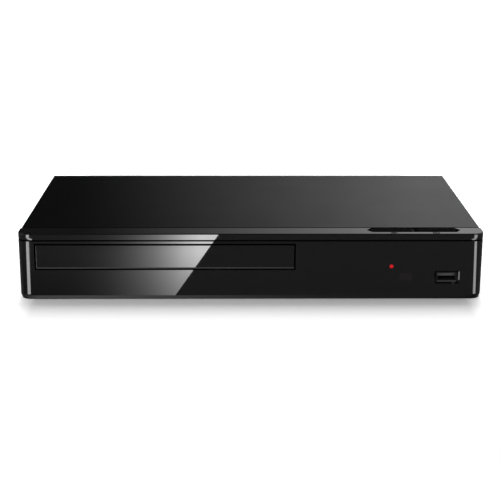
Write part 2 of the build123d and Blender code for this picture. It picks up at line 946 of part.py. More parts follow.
# Rear panel: a flat plate against the pan's rear flange, cut for the sockets and vents
with BuildPart() as rear_panel:
    block(
        about(0, pan_half_width),
        (rear_wall_y - sheet, rear_wall_y),
        (floor_z, cover_top_z - sheet - loose_gap),
    )
    with BuildSketch(Plane.XZ.offset(-rear_wall_y)) as rear_openings:
        with Locations((video_x, board_top_z + video_height / 2)):
            Rectangle(video_width + loose_gap * 2, video_height + loose_gap * 2)
        with Locations((network_x, board_top_z + network_height / 2)):
            Rectangle(network_width + loose_gap * 2, network_height + loose_gap * 2)
        with Locations((audio_x, audio_z)):
            Circle(audio_flange_radius + loose_gap)
        with Locations((inlet_x, inlet_z)):
            Rectangle(inlet_width + loose_gap * 2, inlet_height + loose_gap * 2)
        with Locations((rear_vent_x, rear_vent_z)):
            with GridLocations(vent_pitch, 0, rear_vent_count, 1):
                SlotOverall(vent_slot_height, vent_slot_width, rotation=90)
        for x in (-1, 0, 1):
            with Locations((x * (cover_half_width - foot_inset_x), cover_top_z - cover_flange / 2)):
                Circle(screw_radius + screw_gap)
    extrude(amount=sheet, both=True, mode=Mode.SUBTRACT)
save(rear_panel, "rear_panel")

# Feet: turned rubber pads, hollow underneath
with BuildPart() as rubber_feet:
    for x, y in foot_places:
        with BuildSketch(Plane(origin=(x, y, 0), x_dir=(1, 0, 0), z_dir=(0, -1, 0))) as foot_section:
            with BuildLine():
                Polyline(
                    (0, foot_recess_depth),
                    (foot_recess_radius, foot_recess_depth),
                    (foot_recess_radius, 0),
                    (foot_radius - foot_taper, 0),
                    (foot_radius, floor_z),
                    (0, floor_z),
                    close=True,
                )
            make_face()
        revolve(axis=Axis((x, y, 0), (0, 0, 1)))
save(rubber_feet, "rubber_feet")

# Loader frame: a moulded tub that guides the tray and carries the mechanism
frame_x_span = about(door_center_x, frame_half_width)
frame_y_span = (frame_front_y, frame_rear_y)
tray_path = about(door_center_x, tray_half_width + loose_gap)

with BuildPart() as loader_frame:
    with BuildSketch(Plane.XY.offset(frame_bottom_z)) as frame_plan:
        patch(frame_x_span, frame_y_span)
        for x, y in frame_lugs:
            with Locations((x, y)):
                Circle(frame_lug_radius)
            inner_x = door_center_x + (frame_half_width if x > door_center_x else -frame_half_width)
            patch(tuple(sorted((x, inner_x))), about(y, frame_lug_radius))
        with BuildSketch(mode=Mode.PRIVATE) as frame_window:
            patch(
                about(door_center_x, frame_opening_half_width),
                (frame_opening_front_y, frame_opening_rear_y),
            )
            fillet(frame_window.vertices(), frame_opening_corner)
        add(frame_window.sketch, mode=Mode.SUBTRACT)
        with Locations((loading_motor_x, drive_y)):
            Circle(motor_radius + loose_gap, mode=Mode.SUBTRACT)
        for x, y in frame_lugs:
            with Locations((x, y)):
                Circle(screw_radius + screw_gap, mode=Mode.SUBTRACT)
    extrude(amount=frame_floor)
    with BuildSketch(Plane.XY.offset(frame_floor_z)) as frame_walls:
        patch(frame_x_span, frame_y_span)
        patch(
            about(door_center_x, frame_half_width - frame_wall),
            (frame_front_y + frame_wall, frame_rear_y - frame_wall),
            mode=Mode.SUBTRACT,
        )
    extrude(amount=frame_top_z - frame_floor_z)
    for side in (-1, 1):
        wall_x = door_center_x + side * (frame_half_width - frame_wall)
        block(
            tuple(sorted((wall_x, wall_x - side * ledge_reach))),
            frame_y_span,
            (tray_bottom_z - loose_gap - ledge_height, tray_bottom_z - loose_gap),
        )
        for y in retainer_y_places:
            block(
                tuple(sorted((wall_x, wall_x - side * retainer_reach))),
                about(y, retainer_length / 2),
                (deck_z + loose_gap, deck_z + loose_gap + retainer_height),
            )
        pivot_inner_x = door_center_x + side * (lift_half_width + loose_gap)
        block(
            tuple(sorted((pivot_inner_x, pivot_inner_x + side * pivot_block_width))),
            about(pivot_y, pivot_block_half_depth),
            (frame_bottom_z, pivot_z + pivot_block_top),
        )
    block(
        tray_path,
        (frame_front_y - cut_over, frame_front_y + frame_wall + cut_over),
        (tray_bottom_z - rack_height - loose_gap * 2, frame_top_z + cut_over),
        mode=Mode.SUBTRACT,
    )
    block(
        tray_path,
        (frame_rear_y - frame_wall - cut_over, frame_rear_y + cut_over),
        (tray_bottom_z - rack_height - loose_gap * 2, frame_top_z + cut_over),
        mode=Mode.SUBTRACT,
    )
    bar_along_x(
        about(door_center_x, frame_half_width - frame_wall - cut_over),
        pivot_y,
        pivot_z,
        pivot_radius + running_gap,
        mode=Mode.SUBTRACT,
    )
    block(
        about(loading_motor_x, motor_radius + shelf_margin),
        (frame_front_y, drive_y + motor_radius - shelf_margin),
        (shelf_top_z - shelf_thickness, shelf_top_z),
    )
    post(
        loading_motor_x,
        drive_y,
        (shelf_top_z - shelf_thickness - cut_over, shelf_top_z + cut_over),
        motor_boss_radius + loose_gap,
        mode=Mode.SUBTRACT,
    )
    post(tray_gear_x, drive_y, (frame_floor_z, tray_gear_bottom_z - loose_gap), gear_hub_radius)
    post(tray_gear_x, drive_y, (frame_floor_z, tray_gear_top_z), gear_post_radius)
    post(pulley_x, drive_y, (frame_floor_z, pulley_bottom_z - loose_gap), gear_hub_radius)
    post(pulley_x, drive_y, (frame_floor_z, tray_gear_bottom_z + pinion_height), gear_post_radius)
    for x in finger_offsets:
        for y_span in (
            (cam_front_y - loose_gap - finger_depth, cam_front_y - loose_gap),
            (lift_front_y - cam_gap + loose_gap, lift_front_y - cam_gap + loose_gap + finger_depth),
        ):
            block(
                about(door_center_x + x, finger_width / 2),
                y_span,
                (frame_floor_z, frame_floor_z + finger_height),
            )
save(loader_frame, "loader_frame")

# Tray: deck, disc recesses, open slot for the pickup, rails and rack
tray_x_span = about(door_center_x, tray_half_width)

with BuildPart() as disc_tray:
    block(tray_x_span, (tray_front_y, tray_rear_y), (deck_z - deck_thickness, deck_z))
    for side in (-1, 1):
        edge_x = door_center_x + side * tray_half_width
        block(
            tuple(sorted((edge_x, edge_x - side * tray_rail_width))),
            (tray_front_y + tray_front_wall, tray_rear_y),
            (tray_bottom_z, deck_z),
        )
    with BuildSketch(Plane.XY.offset(tray_bottom_z)) as dish_plan:
        with Locations((door_center_x, disc_center_y)):
            Circle(recess_radius + dish_wall)
        with BuildSketch(mode=Mode.PRIVATE) as tray_bounds:
            patch(tray_x_span, (tray_front_y, tray_rear_y))
        add(tray_bounds.sketch, mode=Mode.INTERSECT)
    extrude(amount=deck_z - tray_bottom_z)
    post(door_center_x, disc_center_y, (recess_floor_z, deck_z + cut_over), recess_radius, Mode.SUBTRACT)
    post(
        door_center_x,
        disc_center_y,
        (recess_floor_z - small_recess_depth, deck_z),
        small_recess_radius,
        Mode.SUBTRACT,
    )
    with BuildSketch(Plane.XY.offset(tray_bottom_z - cut_over)) as tray_slot:
        with Locations((door_center_x, disc_center_y)):
            Circle(tray_slot_half_width)
        patch(about(door_center_x, tray_slot_half_width), (disc_center_y, tray_rear_y + cut_over))
    extrude(amount=deck_z - tray_bottom_z + cut_over * 2, mode=Mode.SUBTRACT)
    block(
        tray_x_span,
        (tray_front_y, tray_front_y + tray_front_wall),
        (tray_bottom_z, tray_bottom_z + tray_front_height),
    )
    with BuildSketch(Plane.XY.offset(tray_bottom_z - rack_height)) as rack_plan:
        with BuildLine():
            Polyline(*rack_outline(door_center_x + rack_x, drive_y, tray_travel), close=True)
        make_face()
    extrude(amount=rack_height)
save(disc_tray, "disc_tray")

# Tray door: the gloss front that travels with the tray
with BuildPart() as tray_door:
    block(
        about(door_center_x, door_width / 2),
        (front_y, tray_front_y),
        (door_bottom_z, door_top_z),
    )
    door_underside = tray_door.faces().sort_by(Axis.Z)[0]
    lower_edge = door_underside.edges().sort_by(Axis.Y)[0]
    chamfer(lower_edge, door_slope_depth, door_slope, reference=door_underside)
    door_face = tray_door.faces().sort_by(Axis.Y)[0]
    fillet(door_face.edges().sort_by(Axis.Z)[1:], door_edge)
save(tray_door, "tray_door")

# Tray gear: its upper part meshes with the rack, its lower part with the pinion
with BuildPart() as tray_gear:
    with BuildSketch(Plane(origin=(tray_gear_x, drive_y, tray_gear_bottom_z))) as tray_gear_plan:
        with BuildLine():
            Polyline(*gear_outline(tray_gear_teeth, 0), close=True)
        make_face()
        Circle(gear_post_radius + running_gap, mode=Mode.SUBTRACT)
    extrude(amount=tray_gear_height)
save(tray_gear, "tray_gear")

# Pulley gear: belt pulley below, pinion above
belt_groove = belt_width + belt_clearance
pinion_turn = 180 / pinion_teeth
with BuildPart() as pulley_gear:
    with BuildSketch(Plane(origin=(pulley_x, drive_y, 0), x_dir=(1, 0, 0), z_dir=(0, -1, 0))):
        with BuildLine():
            Polyline(*pulley_section(pulley_radius, belt_groove, (pulley_bottom_z, pulley_top_z)), close=True)
        make_face()
    revolve(axis=Axis((pulley_x, drive_y, 0), (0, 0, 1)))
    with BuildSketch(Plane(origin=(pulley_x, drive_y, pulley_top_z))) as pinion_plan:
        with BuildLine():
            Polyline(*gear_outline(pinion_teeth, pinion_turn), close=True)
        make_face()
    extrude(amount=tray_gear_bottom_z + pinion_height - pulley_top_z)
    post(
        pulley_x,
        drive_y,
        (pulley_bottom_z - cut_over, overall_height),
        gear_post_radius + running_gap,
        Mode.SUBTRACT,
    )
save(pulley_gear, "pulley_gear")

# Motor pulley on the motor's shaft
with BuildPart() as motor_pulley:
    with BuildSketch(Plane(origin=(loading_motor_x, drive_y, 0), x_dir=(1, 0, 0), z_dir=(0, -1, 0))):
        with BuildLine():
            Polyline(
                *pulley_section(motor_pulley_radius, belt_groove, (pulley_bottom_z, pulley_top_z)),
                close=True,
            )
        make_face()
    revolve(axis=Axis((loading_motor_x, drive_y, 0), (0, 0, 1)))
    post(
        loading_motor_x,
        drive_y,
        (motor_top_z - motor_height / 2, pulley_bottom_z),
        motor_shaft_radius,
    )
save(motor_pulley, "motor_pulley")

# Loading motor: a flat can under the shelf
with BuildPart() as loading_motor:
    post(loading_motor_x, drive_y, (motor_top_z - motor_height, motor_top_z), motor_radius)
    fillet(loading_motor.faces().sort_by(Axis.Z)[0].edges(), bend_radius)
    post(loading_motor_x, drive_y, (motor_top_z, motor_top_z + motor_boss_height), motor_boss_radius)
    post(
        loading_motor_x,
        drive_y,
        (motor_top_z - motor_height / 2, motor_top_z + motor_boss_height + cut_over),
        motor_shaft_radius + running_gap,
        Mode.SUBTRACT,
    )
save(loading_motor, "loading_motor")

# Belt: a loop of square section in the two grooves
belt_middle_z = middle(pulley_bottom_z, pulley_top_z)
belt_inner = belt_clearance / 2 - belt_groove
with BuildPart() as drive_belt:
    with BuildSketch(Plane.XY.offset(belt_middle_z - belt_width / 2)) as belt_plan:
        with Locations((pulley_x, drive_y)):
            Circle(pulley_radius + belt_inner + belt_width)
        with Locations((loading_motor_x, drive_y)):
            Circle(motor_pulley_radius + belt_inner + belt_width)
        make_hull()
        with BuildSketch(mode=Mode.PRIVATE) as belt_hole:
            with Locations((pulley_x, drive_y)):
                Circle(pulley_radius + belt_inner)
            with Locations((loading_motor_x, drive_y)):
                Circle(motor_pulley_radius + belt_inner)
            make_hull()
        add(belt_hole.sketch, mode=Mode.SUBTRACT)
    extrude(amount=belt_width)
save(drive_belt, "drive_belt")

# Cam slider: a plate with two slanted slots that lower the lift frame's pins
cam_slot_width = lift_pin_radius * 2 + loose_gap * 2
with BuildPart() as cam_slider:
    with BuildSketch(Plane.XZ.offset(-cam_front_y)) as cam_face:
        patch(
            (door_center_x - cam_left, door_center_x + cam_right),
            (frame_floor_z + seat_gap, pivot_z + cam_top_margin),
        )
        fillet(cam_face.vertices(), cam_corner)
        for side in (-1, 1):
            start = Vector(door_center_x + side * lift_pin_x, pivot_z)
            end = start + Vector(-cam_travel, -pin_drop)
            with BuildSketch(Plane.XZ.offset(-cam_front_y), mode=Mode.PRIVATE) as cam_slot:
                SlotCenterPoint((start + end) * (1 / 2), end, cam_slot_width)
            add(cam_slot.sketch, mode=Mode.SUBTRACT)
    extrude(amount=-cam_thickness)
save(cam_slider, "cam_slider")

# Lift frame: a ring with rear pivot pins, front cam pins and posts for the bushes
with BuildPart() as lift_frame:
    with BuildSketch(Plane.XY.offset(lift_bottom_z)) as lift_plan:
        patch(about(door_center_x, lift_half_width), (lift_front_y, pivot_y + pivot_radius))
        fillet(lift_plan.vertices(), lift_corner)
        with BuildSketch(mode=Mode.PRIVATE) as lift_window:
            patch(
                about(door_center_x, lift_half_width - lift_bar),
                (lift_front_y + lift_bar, pivot_y - pivot_radius),
            )
            fillet(lift_window.vertices(), lift_corner)
        add(lift_window.sketch, mode=Mode.SUBTRACT)
    extrude(amount=lift_thickness)
    for side in (-1, 1):
        inner_x = door_center_x + side * (lift_half_width - lift_bar)
        outer_x = door_center_x + side * (lift_half_width + pivot_block_width)
        bar_along_x(tuple(sorted((inner_x, outer_x))), pivot_y, pivot_z, pivot_radius)
        pin_x = door_center_x + side * lift_pin_x
        bar_along_y(pin_x, (cam_front_y, lift_front_y + lift_bar), pivot_z, lift_pin_radius)
        for y in bush_y_places:
            bush_top_z = plate_top_z + bush_flange
            post(door_center_x + side * bush_x, y, (lift_top_z, bush_top_z), bush_post_radius)
save(lift_frame, "lift_frame")

# Rubber bushes between lift frame and traverse plate
bush_places = [(door_center_x + side * bush_x, y) for side in (-1, 1) for y in bush_y_places]
with BuildPart() as damper_bushes:
    for x, y in bush_places:
        post(x, y, (lift_top_z, plate_bottom_z), bush_radius)
        post(x, y, (plate_bottom_z, plate_top_z), bush_neck_radius)
        post(x, y, (plate_top_z, plate_top_z + bush_flange), bush_radius)
    for x, y in bush_places:
        post(x, y, (lift_top_z - cut_over, overall_height), bush_post_radius + running_gap, Mode.SUBTRACT)
save(damper_bushes, "damper_bushes")

# Traverse plate: steel, with the pickup window and rod clips
with BuildPart() as traverse_plate:
    with BuildSketch(Plane.XY.offset(plate_bottom_z)) as plate_plan:
        patch(about(door_center_x, plate_half_width), (plate_front_y, plate_rear_y))
        fillet(plate_plan.vertices(), plate_corner)
        with BuildSketch(mode=Mode.PRIVATE) as plate_window:
            patch(
                about(door_center_x, plate_window_half_width),
                (plate_window_front_y, plate_window_rear_y),
            )
            fillet(plate_window.vertices(), plate_corner)
        add(plate_window.sketch, mode=Mode.SUBTRACT)
        for x, y in bush_places:
            with Locations((x, y)):
                Circle(bush_neck_radius + running_gap, mode=Mode.SUBTRACT)
        with Locations((door_center_x, disc_center_y)):
            Circle(spindle_motor_radius / 2, mode=Mode.SUBTRACT)
    extrude(amount=plate_thickness)
    for side in (-1, 1):
        for y_span in (
            (plate_window_front_y - rod_clip_depth, plate_window_front_y),
            (plate_window_rear_y, plate_window_rear_y + rod_clip_depth),
        ):
            clip_x = door_center_x + side * rod_x
            block(
                about(clip_x, rod_clip_half_width),
                y_span,
                (rod_z - rod_radius - rod_seat, plate_bottom_z),
            )
            bar_along_y(clip_x, y_span, rod_z, rod_radius + running_gap, Mode.SUBTRACT)
    screw_mid_x = door_center_x + screw_x
    block(
        about(screw_mid_x, screw_clip_half_width),
        (lead_screw_rear_y, lead_screw_rear_y + rod_clip_depth),
        (rod_z - lead_screw_radius - rod_seat, plate_bottom_z),
    )
    block(
        about(screw_mid_x, sled_motor_radius),
        (sled_motor_front_y, sled_motor_front_y + sled_motor_length),
        (rod_z, plate_bottom_z),
    )
    bar_along_y(
        screw_mid_x,
        (sled_motor_front_y - cut_over, sled_motor_front_y + sled_motor_length + cut_over),
        rod_z,
        sled_motor_radius + running_gap,
        Mode.SUBTRACT,
    )
    bar_along_y(
        screw_mid_x,
        (lead_screw_rear_y - cut_over, lead_screw_rear_y + rod_clip_depth / 2),
        rod_z,
        lead_screw_radius / 2 + running_gap,
        Mode.SUBTRACT,
    )
save(traverse_plate, "traverse_plate")

# Guide rods
with BuildPart() as guide_rods:
    for side in (-1, 1):
        bar_along_y(
            door_center_x + side * rod_x,
            (plate_window_front_y - rod_clip_depth, plate_window_rear_y + rod_clip_depth),
            rod_z,
            rod_radius,
        )
save(guide_rods, "guide_rods")

# Spindle motor: a flat stator under the plate with a bearing boss
with BuildPart() as spindle_motor:
    post(
        door_center_x,
        disc_center_y,
        (plate_bottom_z - spindle_motor_height, plate_bottom_z),
        spindle_motor_radius,
    )
    fillet(spindle_motor.faces().sort_by(Axis.Z)[0].edges(), bend_radius)
    post(
        door_center_x,
        disc_center_y,
        (plate_bottom_z, plate_top_z + spindle_base_height),
        spindle_motor_radius / 2 - seat_gap,
    )
    post(
        door_center_x,
        disc_center_y,
        (plate_bottom_z - spindle_motor_height / 2, overall_height),
        spindle_shaft_radius + running_gap,
        Mode.SUBTRACT,
    )
save(spindle_motor, "spindle_motor")

# Turntable: shaft, hub, platter and centring cone, as one turned piece
hub_bottom_z = plate_top_z + spindle_base_height + loose_gap
with BuildPart() as turntable:
    with BuildSketch(Plane(origin=(door_center_x, disc_center_y, 0), x_dir=(1, 0, 0), z_dir=(0, -1, 0))):
        with BuildLine():
            Polyline(
                (0, plate_bottom_z - spindle_motor_height / 2 + loose_gap),
                (spindle_shaft_radius, plate_bottom_z - spindle_motor_height / 2 + loose_gap),
                (spindle_shaft_radius, hub_bottom_z),
                (turntable_hub_radius, hub_bottom_z),
                (turntable_hub_radius, turntable_bottom_z),
                (turntable_radius, turntable_bottom_z),
                (turntable_radius, turntable_top_z),
                (cone_radius, turntable_top_z),
                (cone_radius, disc_play_z),
                (cone_tip_radius, disc_play_z + cone_height),
                (0, disc_play_z + cone_height),
                close=True,
            )
        make_face()
    revolve(axis=Axis((door_center_x, disc_center_y, 0), (0, 0, 1)))
save(turntable, "turntable")

# Rubber pad on the turntable's rim
with BuildPart() as turntable_pad:
    post(door_center_x, disc_center_y, (turntable_top_z, disc_play_z), turntable_radius)
    post(
        door_center_x,
        disc_center_y,
        (turntable_top_z - cut_over, disc_play_z + cut_over),
        turntable_radius - pad_width,
        Mode.SUBTRACT,
    )
save(turntable_pad, "turntable_pad")

# Clamper bridge over the loader frame
with BuildPart() as clamper_bridge:
    with BuildSketch(Plane.XY.offset(frame_top_z)) as bridge_plan:
        patch(frame_x_span, about(disc_center_y, bridge_half_depth))
        fillet(bridge_plan.vertices(), lift_corner)
        with Locations((door_center_x, disc_center_y)):
            Circle(bridge_hole_radius, mode=Mode.SUBTRACT)
    extrude(amount=bridge_thickness)
    for side in (-1, 1):
        edge_y = disc_center_y + side * bridge_half_depth
        block(
            about(door_center_x, frame_half_width - lift_corner),
            tuple(sorted((edge_y, edge_y - side * bridge_lip_width))),
            (frame_top_z, frame_top_z + bridge_thickness + bridge_lip),
        )
save(clamper_bridge, "clamper_bridge")

# Clamper: a puck that hangs in the bridge, with a pocket for its magnet
clamper_disc_top_z = clamper_bottom_z + clamper_disc_height
clamper_neck_top_z = clamper_disc_top_z + clamper_neck_height
clamper_top_z = clamper_neck_top_z + clamper_flange_height
magnet_bottom_z = clamper_top_z - magnet_height
with BuildPart() as clamper:
    post(door_center_x, disc_center_y, (clamper_bottom_z, clamper_disc_top_z), clamper_radius)
    post(door_center_x, disc_center_y, (clamper_disc_top_z, clamper_neck_top_z), clamper_neck_radius)
    post(door_center_x, disc_center_y, (clamper_neck_top_z, clamper_top_z), clamper_flange_radius)
    post(
        door_center_x,
        disc_center_y,
        (clamper_bottom_z - cut_over, disc_play_z + cone_height + loose_gap),
        clamper_recess_radius,
        Mode.SUBTRACT,
    )
    post(
        door_center_x,
        disc_center_y,
        (magnet_bottom_z, overall_height),
        magnet_radius + running_gap,
        Mode.SUBTRACT,
    )
save(clamper, "clamper")

# Ring magnet in the clamper's pocket
with BuildPart() as clamper_magnet:
    post(door_center_x, disc_center_y, (magnet_bottom_z, clamper_top_z), magnet_radius)
    post(
        door_center_x,
        disc_center_y,
        (magnet_bottom_z - cut_over, clamper_top_z + cut_over),
        magnet_bore_radius,
        Mode.SUBTRACT,
    )
save(clamper_magnet, "clamper_magnet")

# Pickup body: a cast block with rod bores and a yoke around the lens
pickup_y_span = (lens_y - pickup_front, lens_y + pickup_rear)
with BuildPart() as pickup_body:
    with BuildSketch(Plane.XY.offset(pickup_bottom_z)) as pickup_plan:
        patch(about(door_center_x, pickup_half_width), pickup_y_span)
        fillet(pickup_plan.vertices(), pickup_corner)
    extrude(amount=pickup_height)
    for side in (-1, 1):
        bar_along_y(
            door_center_x + side * rod_x,
            (pickup_y_span[0] - cut_over, pickup_y_span[1] + cut_over),
            rod_z,
            rod_radius + running_gap,
            Mode.SUBTRACT,
        )
        outer_x = door_center_x + side * (pickup_half_width + cut_over)
        block(
            tuple(sorted((outer_x, outer_x - side * (pickup_waist + cut_over)))),
            (pickup_y_span[0] - cut_over, pickup_y_span[1] + cut_over),
            (rod_z + rod_radius + rod_seat, pickup_top_z + cut_over),
            Mode.SUBTRACT,
        )
    for side in (-1, 1):
        inner_y = lens_y + side * (holder_depth / 2 + yoke_gap)
        block(
            about(door_center_x, holder_width / 2),
            tuple(sorted((inner_y, inner_y + side * yoke_thickness))),
            (pickup_top_z, pickup_top_z + yoke_height),
        )
save(pickup_body, "pickup_body")

# Screw follower: the nut arm that rides over the lead screw
with BuildPart() as screw_follower:
    follower_left_x = door_center_x + pickup_half_width
    follower_bottom_z = rod_z + lead_screw_radius + seat_gap
    block(
        (follower_left_x, follower_left_x + follower_reach),
        about(lens_y + pickup_rear / 2, follower_length / 2),
        (follower_bottom_z - follower_height / 2, follower_bottom_z + follower_height / 2),
    )
    bar_along_y(
        door_center_x + screw_x,
        about(lens_y + pickup_rear / 2, follower_length),
        rod_z,
        lead_screw_radius + seat_gap,
        Mode.SUBTRACT,
    )
save(screw_follower, "screw_follower")

# Lens holder, floating over the pickup, and the objective lens
holder_bottom_z = pickup_top_z + holder_gap
holder_top_z = holder_bottom_z + holder_height
with BuildPart() as lens_holder:
    with BuildSketch(Plane.XY.offset(holder_bottom_z)) as holder_plan:
        with Locations((door_center_x, lens_y)):
            Rectangle(holder_width, holder_depth)
        fillet(holder_plan.vertices(), button_corner)
        with Locations((door_center_x, lens_y)):
            Circle(lens_radius + running_gap, mode=Mode.SUBTRACT)
    extrude(amount=holder_height)
save(lens_holder, "lens_holder")

with BuildPart() as objective_lens:
    with BuildSketch(Plane(origin=(door_center_x, lens_y, 0), x_dir=(1, 0, 0), z_dir=(0, -1, 0))):
        with BuildLine():
            ThreePointArc(
                (0, holder_top_z + lens_height / 2),
                (lens_radius / 2, holder_top_z + lens_height * 3 / 8),
                (lens_radius, holder_top_z),
            )
            Polyline(
                (lens_radius, holder_top_z),
                (lens_radius, holder_top_z - lens_height),
                (0, holder_top_z - lens_height),
                (0, holder_top_z + lens_height / 2),
            )
        make_face()
    revolve(axis=Axis((door_center_x, lens_y, 0), (0, 0, 1)))
save(objective_lens, "objective_lens")

# Sled motor and lead screw
sled_motor_rear_y = sled_motor_front_y + sled_motor_length
with BuildPart() as sled_motor:
    bar_along_y(
        door_center_x + screw_x,
        (sled_motor_front_y, sled_motor_rear_y),
        rod_z,
        sled_motor_radius,
    )
    bar_along_y(
        door_center_x + screw_x,
        (middle(sled_motor_front_y, sled_motor_rear_y), sled_motor_rear_y + cut_over),
        rod_z,
        lead_screw_radius / 2 + running_gap,
        Mode.SUBTRACT,
    )
save(sled_motor, "sled_motor")

with BuildPart() as lead_screw:
    bar_along_y(
        door_center_x + screw_x,
        (sled_motor_rear_y + loose_gap, lead_screw_rear_y - loose_gap),
        rod_z,
        lead_screw_radius,
    )
    bar_along_y(
        door_center_x + screw_x,
        (
            middle(sled_motor_front_y, sled_motor_rear_y) + loose_gap,
            lead_screw_rear_y + rod_clip_depth / 2 - loose_gap,
        ),
        rod_z,
        lead_screw_radius / 2,
    )
save(lead_screw, "lead_screw")


# Circuit boards, drilled for their screws
def board_plate(spans, z, thickness, screws):
    block(spans[0], spans[1], (z, z + thickness))
    for x, y in screws:
        post(x, y, (z - cut_over, z + thickness + cut_over), screw_radius + screw_gap, Mode.SUBTRACT)


with BuildPart() as main_board:
    board_plate(main_board_spans, board_z, board_thickness, main_screws)
save(main_board, "main_board")

with BuildPart() as power_board:
    board_plate(power_board_spans, board_z, board_thickness, power_screws)
save(power_board, "power_board")

with BuildPart() as front_board:
    board_plate(front_board_spans, front_board_z, board_thickness, front_screws)
save(front_board, "front_board")

button_screws = [(x, button_middle_y) for x in button_post_x]
button_board_spans = (
    (well_left_x - button_board_margin, well_right_x + button_board_margin),
    about(button_middle_y, button_board_depth / 2),
)
with BuildPart() as button_board:
    board_plate(button_board_spans, button_board_z, button_board_thickness, button_screws)
save(button_board, "button_board")

# Tact switches under the buttons, and the plunger of each
with BuildPart() as tact_switches:
    for span in button_spans.values():
        block(
            about(middle(*span), switch_size / 2),
            about(button_middle_y, switch_size / 2),
            (button_board_top_z, switch_top_z),
        )
        post(
            middle(*span),
            button_middle_y,
            (switch_top_z - switch_hole_depth, switch_top_z + cut_over),
            switch_plunger_radius + running_gap,
            Mode.SUBTRACT,
        )
save(tact_switches, "tact_switches")

for plunger_name, span in zip(("open_plunger", "power_plunger"), button_spans.values()):
    with BuildPart() as plunger:
        post(
            middle(*span),
            button_middle_y,
            (switch_top_z - switch_plunger_grip, plunger_top_z),
            switch_plunger_radius,
        )
    save(plunger, plunger_name)

# Chips, heat sink and small capacitors on the main board
with BuildPart() as main_chips:
    block(
        about(processor_x, processor_size / 2),
        about(processor_y, processor_size / 2),
        (board_top_z, board_top_z + processor_height),
    )
    for side in (-1, 1):
        for row in (-1, 1):
            block(
                about(processor_x + side * processor_size, memory_width / 2),
                about(processor_y + row * memory_length * 2 / 3, memory_length / 2),
                (board_top_z, board_top_z + memory_height),
            )
save(main_chips, "main_chips")

sink_z = board_top_z + processor_height
with BuildPart() as heat_sink:
    block(about(processor_x, sink_size / 2), about(processor_y, sink_size / 2), (sink_z, sink_z + sink_base))
    fin_pitch = (sink_size - sink_fin) / (sink_fin_count - 1)
    for fin in range(sink_fin_count):
        fin_x = processor_x - sink_size / 2 + sink_fin / 2 + fin * fin_pitch
        block(
            about(fin_x, sink_fin / 2),
            about(processor_y, sink_size / 2),
            (sink_z + sink_base, sink_z + sink_height),
        )
save(heat_sink, "heat_sink")


# A can capacitor standing on a board, with a crimp groove near its foot
def can_section(radius, low, high):
    return [
        (0, low),
        (radius, low),
        (radius, low + can_groove_width),
        (radius - can_groove, low + can_groove_width * 3 / 2),
        (radius, low + can_groove_width * 2),
        (radius, high - can_groove),
        (radius - can_groove, high),
        (0, high),
    ]


def standing_can(x, y, radius, low, high):
    with BuildSketch(Plane(origin=(x, y, 0), x_dir=(1, 0, 0), z_dir=(0, -1, 0))) as can_half:
        with BuildLine():
            Polyline(*can_section(radius, low, high), close=True)
        make_face()
    revolve(can_half.sketch, axis=Axis((x, y, 0), (0, 0, 1)))


board_low_x, board_high_x = main_board_spans[0]
board_low_y, board_high_y = main_board_spans[1]
with BuildPart() as board_capacitors:
    for share_x, share_y in can_places_shares:
        can_x = board_low_x + share_x * (board_high_x - board_low_x)
        can_y = board_low_y + share_y * (board_high_y - board_low_y)
        standing_can(can_x, can_y, small_can_radius, board_top_z, board_top_z + small_can_height)
save(board_capacitors, "board_capacitors")

# Power board: transformer, bulk capacitor and choke
with BuildPart() as power_transformer:
    block(
        about(transformer_x, transformer_width / 2),
        about(transformer_y, transformer_core / 2),
        (board_top_z, board_top_z + transformer_height),
    )
    coil_radius = transformer_length / 2
    post(
        transformer_x,
        transformer_y,
        (board_top_z + transformer_coil_inset, board_top_z + transformer_height - transformer_coil_inset),
        coil_radius,
    )
save(power_transformer, "power_transformer")

with BuildPart() as mains_capacitor:
    standing_can(bulk_x, bulk_y, bulk_can_radius, board_top_z, board_top_z + bulk_can_length)
save(mains_capacitor, "mains_capacitor")

with BuildPart() as line_choke:
    choke_top_z = board_top_z + choke_height
    post(choke_x, choke_y, (board_top_z, board_top_z + choke_flange), choke_radius)
    post(choke_x, choke_y, (board_top_z + choke_flange, choke_top_z - choke_flange), choke_core_radius)
    post(choke_x, choke_y, (choke_top_z - choke_flange, choke_top_z), choke_radius)
save(line_choke, "line_choke")

# Front data socket: a folded shell with a contact tongue inside
data_front_y = front_y + data_shell_setback
with BuildPart() as front_data_socket:
    data_y_span = (data_front_y, data_front_y + data_shell_depth)
    block(
        about(data_center_x, data_shell_width / 2),
        data_y_span,
        about(data_center_z, data_shell_height / 2),
    )
    block(
        about(data_center_x, data_shell_width / 2 - data_shell_wall),
        (data_front_y - cut_over, data_y_span[1] - data_back_wall),
        about(data_center_z, data_shell_height / 2 - data_shell_wall),
        Mode.SUBTRACT,
    )
    tongue_top_z = data_center_z + data_shell_height / 2 - data_shell_wall - data_tongue_rise
    block(
        about(data_center_x, data_tongue_width / 2),
        (data_front_y + data_tongue_setback, data_y_span[1]),
        (tongue_top_z - data_tongue_height, tongue_top_z),
    )
save(front_data_socket, "front_data_socket")

# Remote receiver behind its window
receiver_front_y = front_wall_back_y + receiver_setback
with BuildPart() as remote_receiver:
    block(
        about(receiver_x, receiver_width / 2),
        (receiver_front_y, receiver_front_y + receiver_depth),
        (front_board_z + board_thickness, front_board_z + board_thickness + receiver_height),
    )
    bar_along_y(
        receiver_x,
        (receiver_front_y - receiver_lens_reach, receiver_front_y),
        receiver_z,
        receiver_lens_radius,
    )
save(remote_receiver, "remote_receiver")

# Power lamp: a light guide from the front board to its hole in the panel
with BuildPart() as power_lamp:
    guide_front_y = front_wall_back_y + loose_gap
    block(
        about(lamp_x, guide_width / 2),
        (guide_front_y, guide_front_y + guide_depth),
        (front_board_z + board_thickness, lamp_z + lamp_radius + guide_top_margin),
    )
    bar_along_y(lamp_x, (front_y, guide_front_y), lamp_z, lamp_radius - running_gap)
save(power_lamp, "power_lamp")

